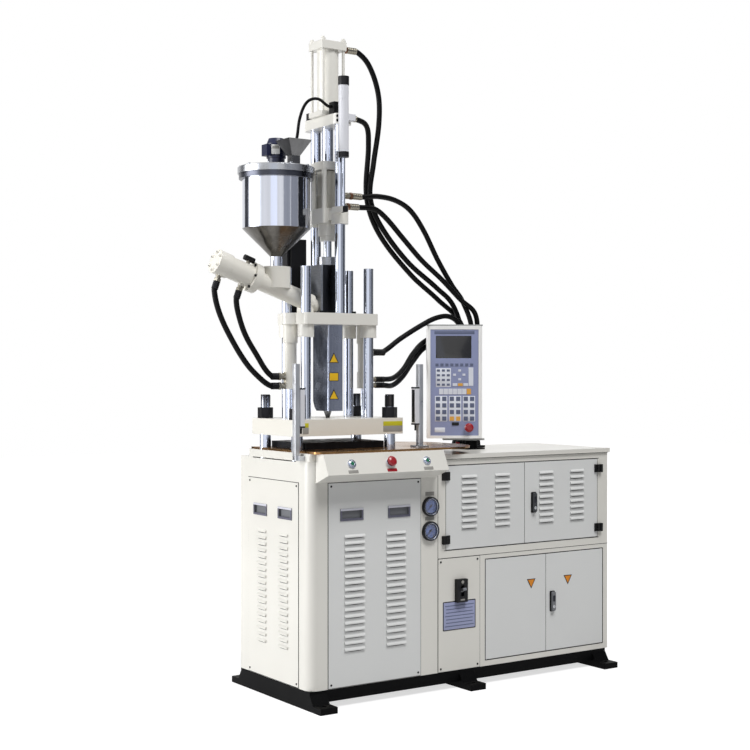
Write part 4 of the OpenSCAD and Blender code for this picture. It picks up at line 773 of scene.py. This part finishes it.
swivel = {"place": (0.219, -0.0045, 0.985), "turnDeg": -34.0, "off": 0.074, "depth": 0.086, "height": 0.478,
          "lip": 0.0002, "knob": 0.0485, "knobFoot": 0.007}
boxFrame = (at(swivel["place"]) @ Matrix.Rotation(math.radians(swivel["turnDeg"]), 4, "Z")
            @ at((-swivel["off"], -swivel["depth"] / 2, 0)))
inBox = boxFrame.inverted()
panel = {"half": 0.1022, "rise": (0.0118, 0.4622), "depth": (0.0015, 0.0025), "keyDepth": (0.0007, 0.00195),
         "keyRise": (0.07, 0.33), "keyHalf": (0.0101, 0.0121), "tallKey": (0.262, 0.0395),
         "ring": (0.061, 0.046, 0.0165), "ringDepth": (-0.0025, 0.0018), "corner": 0.002,
         "screen": 0.0795, "screenRise": (0.339, 0.436), "screenDepth": (0.002, 0.0045),
         "amber": ((0.025, 0.228), (0.061, 0.199), (-0.011, 0.084), (0.016, 0.084)),
         "white": ((0.022, 0.288), (0.000, 0.270), (0.040, 0.270), (0.022, 0.251), (0.002, 0.228), (0.048, 0.228),
                   (0.070, 0.262), (-0.056, 0.199), (-0.0365, 0.199), (-0.017, 0.199), (0.0025, 0.199), (0.022, 0.199),
                   (0.0415, 0.199))}


def inField(c, half, rise, depth):
    return abs(c.x) < half and rise[0] < c.z < rise[1] and depth[0] < c.y < depth[1]


def onKeys(places):
    halfX, halfZ = panel["keyHalf"]
    tallZ, tallHalf = panel["tallKey"]
    return lambda c: (inField(c, panel["half"], panel["rise"], panel["keyDepth"])
                      and any(within(c, x, z, halfX, tallHalf if z == tallZ else halfZ) for x, z in places))


def onRing(c):
    x, z, radius = panel["ring"]
    return panel["ringDepth"][0] < c.y < panel["ringDepth"][1] and math.hypot(c.x - x, c.z - z) < radius


def boxTest(test):
    return lambda c, n: test(inBox @ c)


def onKnob(c, n):
    return (c - Vector(swivel["place"])).xy.length > swivel["knob"] and c.z > roofZ + swivel["knobFoot"]


boxRegions = ((onKeys(panel["amber"]), "keyAmber"), (onKeys(panel["white"]), "keyWhite"),
              (lambda c: inField(c, panel["half"], panel["keyRise"], panel["keyDepth"]), "key"), (onRing, "platePale"),
              (lambda c: inField(c, panel["screen"], panel["screenRise"], panel["screenDepth"]), "screen"),
              (lambda c: inField(c, panel["half"], panel["rise"], panel["depth"]), "membrane"),
              (lambda c: c.z > swivel["height"] + swivel["lip"], "boxLid"), (lambda c: c.z < -swivel["lip"], "boxLid"))
dress("control_box", "box", *[(boxTest(test), key) for test, key in boxRegions])
dress("panel_stand", "enamel", (onKnob, "red"))
print("solids dressed")


# Small forms and plain plates

def addScrew(gather, place, outward, radius):
    turned = facing(place, outward)
    high = radius * 0.55
    profile = [(radius, 0), (radius, high * 0.4), (radius * 0.85, high * 0.85), (radius * 0.5, high), (0, high)]
    addTurned(gather, profile, turned, 0, steps=20)
    addPrism(gather, ringOutline(radius * 0.42, 6), 0.0003, turned @ at((0, 0, high)), 1)


def addSocketBolt(gather, place, outward, radius, height):
    profile = [(radius, 0), (radius, height - 0.0008), (radius - 0.0008, height), (radius * 0.58, height),
               (radius * 0.52, height * 0.5), (0, height * 0.5)]
    addTurned(gather, profile, facing(place, outward, up=(0.3, 0.9, 0.3)), 0, steps=24)


def makePlates(name, materials, body, rows):
    gather = bmesh.new()
    for place, size, *rest in rows:
        addPlate(gather, *size, place, *rest)
    newPiece(name, gather, materials, body)


def addFigure(gather, words, size, matrix, index):
    curve = bpy.data.curves.new("figure", "FONT")
    curve.body = words
    curve.size = size
    curve.align_x, curve.align_y = "CENTER", "CENTER"
    curve.extrude = 0.0001
    curve.resolution_u = 2
    holder = bpy.data.objects.new("figure", curve)
    scene.collection.objects.link(holder)
    bpy.context.view_layer.update()
    mesh = bpy.data.meshes.new_from_object(holder.evaluated_get(bpy.context.evaluated_depsgraph_get()))
    form = bmesh.new()
    form.from_mesh(mesh)
    bpy.data.objects.remove(holder)
    bpy.data.curves.remove(curve)
    bpy.data.meshes.remove(mesh)
    pour(gather, form, matrix, index)


def addSign(gather, outline, inner, shift, place):
    addPrism(gather, outline, 0.0006, place, 1)
    addPrism(gather, [(u * inner, v * inner + shift) for u, v in outline], 0.0009, place, 0)


covers = {"front": (-0.667, -0.239), "side": (-0.1855, 0.1995), "breaker": (-0.152, 0.057), "power": (-0.105, 0.715),
          "rise": (0.075, 0.848), "breakerRise": (0.074, 0.523), "face": 0.002, "inset": 0.012, "screw": 0.0042,
          "shadeLine": (0.0022, 0.0008)}
powerLow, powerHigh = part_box("lower_cabinet")
# span, rise, plane, outward and how proud each cover is; the last three close the back
coverList = [(covers["front"], covers["rise"], frontY, front, covers["face"]),
             (covers["side"], covers["rise"], leftX, left, covers["face"]),
             (covers["breaker"], covers["breakerRise"], frontY, front, covers["face"]),
             (covers["front"], covers["rise"], rearY, back, 0.0)]
for door in ("lower_left_door", "upper_left_door"):
    coverList.append((covers["power"], [c.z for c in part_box(door)], powerHigh.y, back, 0.0))


def coverPlace(plane, outward, along, z):
    return Vector((plane, along, z)) if outward[0] else Vector((along, plane, z))


def makeCoverScrews():
    gather = bmesh.new()
    inset = covers["inset"]
    for span, rise, plane, outward, face in coverList:
        for along in (span[0] + inset, span[1] - inset):
            for z in (rise[0] + inset, rise[1] - inset):
                place = coverPlace(plane, outward, along, z) + Vector(outward) * face
                addScrew(gather, place, outward, covers["screw"])
    newPiece("coverScrews", gather, ["oxide", "ink"], "base")


# painted shadow: thin near-black strips laid round each cover's edges
def makeCoverShadeLines():
    gather = bmesh.new()
    wide, thick = covers["shadeLine"]
    for span, rise, plane, outward, _ in coverList:
        across, up = span[1] - span[0] + wide, rise[1] - rise[0] + wide
        middle = coverPlace(plane, outward, sum(span) / 2, sum(rise) / 2) + Vector(outward) * thick / 2
        for u, v, width, height in ((0, -up / 2, across + wide, wide), (0, up / 2, across + wide, wide),
                                    (-across / 2, 0, wide, up), (across / 2, 0, wide, up)):
            addBox(gather, coverPlace(thick, outward, width, height), at(middle + coverPlace(0, outward, u, v)))
    newPiece("coverShadeLines", gather, ["paintedShade"], "base")


makeCoverScrews()
makeCoverShadeLines()

louvre = {"line": 0.0038, "inset": 0.003, "thick": 0.0003, "narrowest": 0.05, "steps": 10, "bulge": 0.6}


def lipSpans(node, onLeft):
    # ends of each louvre's lower lip, found on the solid
    mesh = nodes[node].data
    low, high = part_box(node)
    half = (low.y + high.y) / 2 if onLeft else (low.x + high.x) / 2
    found = {}
    for polygon in mesh.polygons:
        if polygon.normal.z < -0.9 and onSlot(polygon.center, polygon.normal) and not onPull(polygon.center):
            for i in polygon.vertices:
                spot = mesh.vertices[i].co
                along = spot.y if onLeft else spot.x
                found.setdefault((round(spot.z, 4), along > half), []).append(along)
    spans = [(min(ends), max(ends), z) for (z, _), ends in sorted(found.items())]
    return [span for span in spans if span[1] - span[0] > louvre["narrowest"]]


# painted shade: a thin near-black crescent laid on the panel under each louvre lip
def makeLouvreShade(node, body, face, onLeft=False):
    gather = bmesh.new()
    steps = louvre["steps"]
    for start, end, z in lipSpans(node, onLeft):
        half = (end - start) / 2 - louvre["inset"]
        outline = [(half, 0), (-half, 0)]
        for i in range(steps - 1, 0, -1):
            x, y = polar(1, math.pi * i / steps)
            outline.append((half * x, -louvre["line"] * y ** louvre["bulge"]))
        middle = (start + end) / 2
        place = (leftX - face, middle, z) if onLeft else (middle, frontY - face, z)
        addPrism(gather, outline, louvre["thick"], facing(place, left if onLeft else front), 0)
    newPiece("louvreShade_" + node, gather, ["paintedShade"], body)


makeLouvreShade("front_panel", "base", covers["face"])
makeLouvreShade("side_panel", "base", covers["face"], onLeft=True)
for name in ("upper_left_door", "upper_right_door"):
    makeLouvreShade(name, name, 0.0)

seam = {"wide": 0.0018, "thick": 0.0005, "ends": 0.006, "lip": 0.0195, "upright": 0.02, "doorGap": 0.0020}


# painted shadow: near-black strips along the cabinet's seams, under the roof lip and round the door openings
def makeSeamShade():
    gather = bmesh.new()
    low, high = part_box("upper_cabinet")
    wide, thick, gap = seam["wide"], seam["thick"], seam["doorGap"]
    faceY = frontY - thick / 2

    def strip(width, depth, height, x, y, z):
        addBox(gather, (width, depth, height), at((x, y, z)))

    for z in (low.z, high.z - seam["lip"]):
        strip(high.x - low.x - seam["ends"], thick, wide, (low.x + high.x) / 2, faceY, z)
    top, bottom = high.z - seam["upright"], powerLow.z
    strip(wide, thick, top - bottom, low.x + wide / 2, faceY, (top + bottom) / 2)
    strip(thick, powerHigh.y - frontY - seam["ends"], wide, powerHigh.x + thick / 2, (powerHigh.y + frontY) / 2, low.z)
    strip(powerHigh.x - powerLow.x - seam["ends"], thick, wide, (powerHigh.x + powerLow.x) / 2,
          powerHigh.y + thick / 2, low.z)
    # painted shadow strips round the door openings; the upper doors' hinges take the place of the upright ones
    for pair, upright in (("lower", True), ("upper", False)):
        start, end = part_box(pair + "_left_door")[0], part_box(pair + "_right_door")[1]
        out = gap + wide / 2
        for z in (start.z - out, end.z + out):
            strip(end.x - start.x + 2 * gap, thick, wide, (start.x + end.x) / 2, faceY, z)
        for x in (start.x - out, end.x + out) if upright else ():
            strip(wide, thick, end.z - start.z + 2 * gap, x, faceY, (start.z + end.z) / 2)
    newPiece("cabinetSeamShade", gather, ["paintedShade"], "base")


makeSeamShade()
pullWide, pullHigh = pull["half"]
pullOut = covers["face"] + pull["proud"]
pullPlaces = [facing((x, frontY - pullOut, pull["z"]), front) for x in pull["frontX"]]
pullPlaces += [facing((leftX - pullOut, y, pull["z"]), left) for y in pull["sideY"]]
pullRim = at((0, pullHigh - pull["rim"] / 2, 0))
makePlates("pullFrames", ["pull"], "base",
           [(place @ pullRim, (2 * pullWide - pull["rimGap"], pull["rim"]), 0, pull["thick"]) for place in pullPlaces])

gauge = {"x": -0.1935, "z": (0.736, 0.639), "out": 0.004, "hole": 0.003, "radius": 0.0322, "print": 0.0006,
         "ticks": 40, "major": 8, "value": 5, "outer": 0.0262, "reach": (0.0026, 0.0046), "tick": (0.0005, 0.0010),
         "figures": 0.0182, "figureSize": 0.0058, "lens": 0.0324, "lensOut": (0.0055, 0.0070),
         "plate": (0.043, 0.015), "plateUp": 0.0505}
# black lip, chrome ring, steel rim and black rim, each with its material's index
gaugeRings = (([(0.0272, 0.0072), (0.0277, 0.0079), (0.0298, 0.0083)], 3),
              ([(0.0298, 0.0083), (0.0303, 0.0090), (0.0311, 0.0090), (0.0317, 0.0083)], 4),
              ([(0.0316, 0.0078), (0.0322, 0.0102), (0.0332, 0.0110), (0.0342, 0.0106)], 2),
              ([(0.0342, 0.0106), (0.0356, 0.0110), (0.0376, 0.0102), (0.0386, 0.0080)], 3))


def addDial(gather, place):
    hole, radius = gauge["hole"], gauge["radius"]
    profile = [(hole, 0.0001), (radius, 0.0001), (radius, 0.0005), (hole, 0.0005)]
    addTurned(gather, profile, place, 0, steps=64, close=True)
    for i in range(gauge["ticks"] + 1):
        turn = math.radians(225 - 270 * i / gauge["ticks"])
        major = i % gauge["major"] == 0
        reach = gauge["reach"][major]
        tick = Matrix.Rotation(turn, 4, "Z") @ at((gauge["outer"] - reach / 2, 0, gauge["print"]))
        addBox(gather, (reach, gauge["tick"][major], 0.0002), place @ tick, 1)
        if major:
            spot = place @ at((*polar(gauge["figures"], turn), gauge["print"]))
            addFigure(gather, str(i // gauge["major"] * gauge["value"]), gauge["figureSize"], spot, 1)
    for profile, index in gaugeRings:
        addTurned(gather, profile, place, index, steps=72)


def makeGauges():
    dials, lenses = bmesh.new(), bmesh.new()
    low, high = gauge["lensOut"]
    for z in gauge["z"]:
        place = facing((gauge["x"], frontY - gauge["out"], z), front)
        addDial(dials, place)
        addTurned(lenses, [(0, low), (gauge["lens"], low), (gauge["lens"], high), (0, high)], place, 0, steps=64)
    newPiece("gaugeDials", dials, ["dial", "ink", "rim", "black", "chrome"], "base")
    newPiece("gaugeLenses", lenses, ["glass"], "base")


makeGauges()
makePlates("gaugePlates", ["plateGrey"], "base",
           [(facing((gauge["x"], frontY, z + gauge["plateUp"]), front), gauge["plate"]) for z in gauge["z"]])

basePlate = {"button": (0.044, 0.013), "buttonUp": -0.031, "info": (-0.0475, 0.293), "edge": (0.165, 0.116),
             "edgeCorner": 0.003, "field": (0.157, 0.108), "fieldCorner": 0.002, "lines": 7, "lineCorner": 0.001,
             "lineWide": (0.146, 0.134, 0.134), "lineHigh": 0.0035, "lineTop": 0.040, "pitch": 0.0135,
             "switchOut": 0.018, "tag": (0.022, 0.006), "tagUp": -0.036, "capUp": 0.0345,
             "cap": ((0.0066, 0), (0.0066, 0.0012), (0.0056, 0.0018), (0, 0.0018))}


def makeBasePlates():
    gather = bmesh.new()
    for x, index in zip(fascia["buttons"], (4, 1, 4)):
        addPlate(gather, *basePlate["button"], fasciaPlace(x, up=basePlate["buttonUp"]), index)
    x, z = basePlate["info"]
    info = facing((x, frontY - covers["face"], z), front)
    addPlate(gather, *basePlate["edge"], info, 3, radius=basePlate["edgeCorner"])
    addPlate(gather, *basePlate["field"], info @ at((0, 0, 0.0006)), 2, 0.0005, basePlate["fieldCorner"])
    for i in range(basePlate["lines"]):
        line = info @ at((0, basePlate["lineTop"] - basePlate["pitch"] * i, 0.0010))
        addPlate(gather, basePlate["lineWide"][i % 3], basePlate["lineHigh"], line, 5, 0.0003, basePlate["lineCorner"])
    switch = facing((breaker["x"], frontY - covers["face"] - basePlate["switchOut"], breaker["z"]), front)
    addTurned(gather, basePlate["cap"], switch @ at((0, basePlate["capUp"], 0)), 4, steps=28)
    addPlate(gather, *basePlate["tag"], switch @ at((0, basePlate["tagUp"], 0)), 4, radius=basePlate["lineCorner"])
    materials = ["platePale", "red", "infoBlue", "signEdge", "plateGrey", "key"]
    newPiece("basePlates", gather, materials, "base")


def makeButtonTrims():
    for name, x in startButtons.items():
        gather = bmesh.new()
        addTurned(gather, fascia["trim"], fasciaPlace(x, out=fascia["capTop"]), 0, steps=48)
        newPiece("trim_" + name, gather, ["chrome"], name)


makeBasePlates()
makeButtonTrims()

doorSign = {"lower_left_door": 0.331, "lower_right_door": 0.534, "z": 0.386, "inner": 0.74, "shift": 0.0018,
            "outline": [(0, -0.021), (0.0235, 0.020), (-0.0235, 0.020)]}
latchKey = {"out": 0.014, "keyUp": -0.022, "plateUp": 0.012, "plate": (0.013, 0.026),
            "cap": ((0.0062, 0), (0.0062, 0.0012), (0.0054, 0.0018), (0, 0.0018)),
            "slit": (0.0012, 0.0062, 0.0004), "slitOut": 0.0018}


def makeDoorSign(door):
    gather = bmesh.new()
    place = facing((doorSign[door], frontY, doorSign["z"]), front)
    addSign(gather, doorSign["outline"], doorSign["inner"], doorSign["shift"], place)
    newPiece("sign_" + door, gather, ["amber", "signEdge"], door)


def makeLatchKey(latch, door):
    gather = bmesh.new()
    x, z = doors["latches"][door]
    y = frontY - latchKey["out"]
    key = facing((x, y, z + latchKey["keyUp"]), front)
    plate = facing((x, y, z + latchKey["plateUp"]), front)
    addTurned(gather, latchKey["cap"], key, 0, steps=28)
    addBox(gather, latchKey["slit"], key @ at((0, 0, latchKey["slitOut"])), 1)
    addPlate(gather, *latchKey["plate"], plate, 1, thick=0.0006, radius=0.004)
    newPiece("latchKey_" + latch, gather, ["alloy", "ink"], latch)


makeDoorSign("lower_left_door")
makeDoorSign("lower_right_door")
makeLatchKey("upper_latch", "upper_right_door")
makeLatchKey("lower_latch", "lower_right_door")

thread = {"radius": 0.0181, "depth": 0.0010, "pitch": 0.0040, "steps": 28, "insetX": 0.0306, "insetY": 0.0265,
          "low": deckZ + 0.0425, "high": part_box("clamp_bars")[1].z - 0.0015}


def addThread(gather, x, y):
    steps, pitch = thread["steps"], thread["pitch"]
    count = int((thread["high"] - thread["low"]) / pitch - 1) * steps
    lines = []
    for radius, lift in ((thread["radius"], 0), (thread["radius"] + thread["depth"], pitch / 2)):
        line = []
        for t in range(count + steps + 1):
            u, v = polar(radius, 2 * math.pi * t / steps)
            line.append(gather.verts.new((x + u, y + v, thread["low"] + lift + pitch * t / steps)))
        lines.append(line)
    valley, crest = lines
    for t in range(count):
        gather.faces.new((valley[t], valley[t + 1], crest[t + 1], crest[t]))
        gather.faces.new((crest[t], crest[t + 1], valley[t + steps + 1], valley[t + steps]))


def makeStudThreads():
    gather = bmesh.new()
    low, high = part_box("clamp_nuts")
    for x in (low.x + thread["insetX"], high.x - thread["insetX"]):
        for y in (low.y + thread["insetY"], high.y - thread["insetY"]):
            addThread(gather, x, y)
    bmesh.ops.delete(gather, geom=[v for v in gather.verts if not v.link_faces], context="VERTS")
    newPiece("studThreads", gather, ["oxide"], "platen", angle=25)


makeStudThreads()

# each platen plate's place, width and the height of its upper field
platenPlate = {"top": 1.072, "tall": 0.041, "plates": ((-0.299, 0.092, 0.018), (-0.703, 0.026, 0.017))}
guardPlate = {"x": -0.009, "signs": (1.322, 1.178), "outline": [(-0.023, -0.019), (0.023, -0.019), (0, 0.022)],
              "inner": 0.76, "shift": -0.0018, "middle": 1.248, "edge": (0.044, 0.034), "field": (0.039, 0.029)}


def makeGuardPlates():
    gather = bmesh.new()
    x, y = pressX + guardPlate["x"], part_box("nozzle_guard")[0].y
    for z in guardPlate["signs"]:
        addSign(gather, guardPlate["outline"], guardPlate["inner"], guardPlate["shift"], facing((x, y, z), front))
    middle = facing((x, y, guardPlate["middle"]), front)
    addPlate(gather, *guardPlate["edge"], middle, 1, thick=0.0006)
    addPlate(gather, *guardPlate["field"], middle, 0, thick=0.0009)
    newPiece("guardPlates", gather, ["yellow", "signEdge"], "carriage")


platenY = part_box("top_platen")[0].y
platenRows = []
for x, width, split in platenPlate["plates"]:
    rest = platenPlate["tall"] - split
    for index, height, down in ((0, split, split / 2), (1, rest, split + rest / 2)):
        platenRows.append((facing((x, platenY, platenPlate["top"] - down), front), (width, height), index))
makePlates("platenPlates", ["lime", "plateGrey"], "platen", platenRows)
makeGuardPlates()

bolt = {"plate": 0.075, "plateSize": (0.009, 0.009), "clampPlace": (-0.0295, -0.1222), "clampOut": (-0.75, -0.66, 0),
        "clampZ": (0.012, 0.029), "clampSize": (0.006, 0.006), "flange": (0.0505, 0, -0.125),
        "flangeSize": (0.0052, 0.006), "end": (0.036, 0, -0.288), "endSize": 0.0033, "lid": 10, "lidFirst": 12,
        "lidRing": 0.1385, "lidHead": ((0.0066, 0), (0.0066, 0.0042), (0.0058, 0.005), (0, 0.005))}


def roundFeeder(first, spot):
    turns = [Matrix.Rotation(math.radians(60 * i + first), 4, "Z") for i in range(6)]
    return [feederAxis @ turn @ Vector(spot) for turn in turns]


def makeCarriageBolts():
    gather = bmesh.new()
    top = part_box("carriage_plate")[1].z
    for x in (-bolt["plate"], bolt["plate"]):
        for y in (-bolt["plate"], bolt["plate"]):
            addSocketBolt(gather, (pressX + x, y, top), above, *bolt["plateSize"])
    x, y = bolt["clampPlace"]
    for z in bolt["clampZ"]:
        place = (pressX + x, y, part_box("cylinder_plate")[0].z + z)
        addSocketBolt(gather, place, bolt["clampOut"], *bolt["clampSize"])
    for spot in roundFeeder(30, bolt["flange"]):
        addSocketBolt(gather, spot, feederOut, *bolt["flangeSize"])
    newPiece("carriageBolts", gather, ["oxide"], "carriage")


def makeHopperBolts():
    gather = bmesh.new()
    for spot in roundFeeder(0, bolt["end"]):
        addPrism(gather, ringOutline(bolt["endSize"], 6), 0.0003, facing(spot, feederOut, up=back), 1)
    for i in range(bolt["lid"]):
        x, y = polar(bolt["lidRing"], math.radians(360 / bolt["lid"] * i + bolt["lidFirst"]))
        addTurned(gather, bolt["lidHead"], facing((hopperX + x, y, lidZ), above, up=back), 0, steps=6)
    newPiece("hopperBolts", gather, ["machined", "ink"], "carriage")


makeCarriageBolts()
makeHopperBolts()

motorPlate = {"outward": (-0.56, -0.83, 0), "up": 0.066, "out": 0.0372, "size": (0.033, 0.037), "thick": 0.0025,
              "radius": 0.003, "field": (0.026, 0.012), "fieldPlace": (0, 0.008, 0.0023), "fieldThick": 0.0004}
# each field's place, size and material, then its depth and thickness where they differ
panelFields = ((-0.0035, 0.3875, 0.150, 0.094, 0, 0.0040, 0.0010), (-0.047, 0.258, 0.064, 0.080, 1),
               (-0.0565, 0.126, 0.052, 0.108, 1), (0.0025, 0.126, 0.052, 0.108, 1), (0.0615, 0.126, 0.052, 0.108, 1),
               (0.0, 0.449, 0.170, 0.014, 2), (-0.062, 0.036, 0.044, 0.020, 1),
               (0.004, 0.062, 0.030, 0.013, 3, 0.0020, 0.0032))


def panelField(x, z, width, height, index, deep=0.0020, thick=0.0003):
    return boxFrame @ facing((x, deep, z), front), (width, height), index, thick, panel["corner"]


motorOut = Vector(motorPlate["outward"]).normalized()
motorFace = facing(Vector((hopperX, 0, lidZ + motorPlate["up"])) + motorOut * motorPlate["out"], motorOut)
makePlates("motorPlate", ["platePale", "plateGrey"], "carriage",
           [(motorFace, motorPlate["size"], 0, motorPlate["thick"], motorPlate["radius"]),
            (motorFace @ at(motorPlate["fieldPlace"]), motorPlate["field"], 1, motorPlate["fieldThick"])])
makePlates("panelPrint", ["screen", "keyWhite", "key", "black"], "control_box",
           [panelField(*row) for row in panelFields])


def makeCurtainWindows():
    gather = bmesh.new()
    y = sum(c.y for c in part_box("light_curtains")) / 2
    halfCap = curtain["cap"][2] / 2
    for x, inner in zip(curtain["x"], (1, -1)):
        addBox(gather, curtain["window"], at((x + inner * curtain["half"], y, (curtainLow + curtainHigh) / 2)), 0)
        for z in (curtainLow + halfCap, curtainHigh - halfCap):
            addBox(gather, curtain["cap"], at((x, y, z)), 0, bevel=curtain["bevel"])
    newPiece("curtainWindows", gather, ["black"], "base")


makeCurtainWindows()
print("details added")


# Floor, light and backdrop

# the floor's glow is a distance from the machine and a strength
studio = {"floor": 15.0, "floorTone": (0.5, 0.5, 0.5, 1), "floorRough": 0.9, "ambient": 0.23,
          "glowNear": (1.3, 0.67), "glowFar": (4.5, 0.88)}


def seenRays(tree):
    # 1 for what the camera, mirrors and glass see, 0 for the light on the machine
    rays = put(tree, "ShaderNodeLightPath").outputs
    mirrored = maths(tree, "MAXIMUM", rays["Is Glossy Ray"], rays["Is Transmission Ray"])
    return maths(tree, "MAXIMUM", rays["Is Camera Ray"], mirrored)


def makeWorld():
    world = bpy.data.worlds.new("studioWorld")
    world.use_nodes = True
    tree = world.node_tree
    strength = spread(tree, seenRays(tree), 0.0, 1.0, studio["ambient"], 1.0)
    fill(tree, tree.nodes["Background"], {"Color": (1, 1, 1, 1), "Strength": strength})
    scene.world = world


def addStage(name, points, material, hidden=()):
    gather = bmesh.new()
    gather.faces.new([gather.verts.new(point) for point in points])
    mesh = bpy.data.meshes.new(name)
    gather.to_mesh(mesh)
    gather.free()
    mesh.materials.append(material)
    sheet = bpy.data.objects.new(name, mesh)
    scene.collection.objects.link(sheet)
    for ray in hidden:
        setattr(sheet, "visible_" + ray, False)


def makeFloor():
    material, tree, shader = newMaterial("paleFloor", studio["floorRough"], colour=studio["floorTone"])
    away = put(tree, "ShaderNodeVectorMath", {0: placeOf(tree)}, operation="LENGTH").outputs["Value"]
    (near, nearGlow), (far, farGlow) = studio["glowNear"], studio["glowFar"]
    strength = maths(tree, "MULTIPLY", seenRays(tree), spread(tree, away, near, far, nearGlow, farGlow))
    glow = put(tree, "ShaderNodeEmission", {"Strength": strength})
    both = put(tree, "ShaderNodeAddShader", {0: shader.outputs[0], 1: glow.outputs[0]})
    fill(tree, tree.nodes["Material Output"], {"Surface": both.outputs[0]})
    half = studio["floor"]
    addStage("studioFloor", ((-half, -half, 0), (half, -half, 0), (half, half, 0), (-half, half, 0)), material)


# Panels that only the bright metal mirrors; turns are degrees from the camera's side, width and brightness
cards = {"reach": 5.0, "height": 6.0, "colour": (0.86, 0.9, 1.0, 1),
         "hidden": ("camera", "diffuse", "shadow", "transmission", "volume_scatter"),
         "turns": ((-106, 22, 0.08), (-62, 30, 1.5), (-8, 20, 1.4), (34, 24, 0.46), (63, 30, 0.36), (101, 44, 0.02),
                   (146, 24, 0.35))}


def makeCards():
    toCamera = math.atan2(view["place"][1], view["place"][0])
    high = cards["height"]
    for i, (turn, width, bright) in enumerate(cards["turns"]):
        start, end = (polar(cards["reach"], toCamera + math.radians(turn + edge * width)) for edge in (-0.5, 0.5))
        material, tree, shader = newMaterial(f"cardShade{i}", 1.0, colour=(0, 0, 0, 1))
        fill(tree, shader, {"Specular IOR Level": 0.0, "Emission Color": cards["colour"], "Emission Strength": bright})
        corners = ((*start, 0.0), (*end, 0.0), (*end, high), (*start, high))
        addStage(f"mirrorCard{i}", corners, material, cards["hidden"])


def makeLamp(name, place, aim, size, watts):
    data = bpy.data.lights.new(name, "AREA")
    data.shape = "RECTANGLE"
    data.size, data.size_y = size
    data.energy = watts
    lamp = bpy.data.objects.new(name, data)
    lamp.location = place
    lamp.rotation_euler = (Vector(aim) - Vector(place)).to_track_quat("-Z", "Y").to_euler()
    scene.collection.objects.link(lamp)


makeWorld()
makeFloor()
makeCards()
makeLamp("leftBank", (-4.2, 1.2, 2.0), (-0.4, 0, 1.2), (2.4, 3.0), 160)
makeLamp("topBank", (0.1, -4.4, 8.1), (0, 0, 1.0), (4.4, 3.0), 530)
print("studio lit")
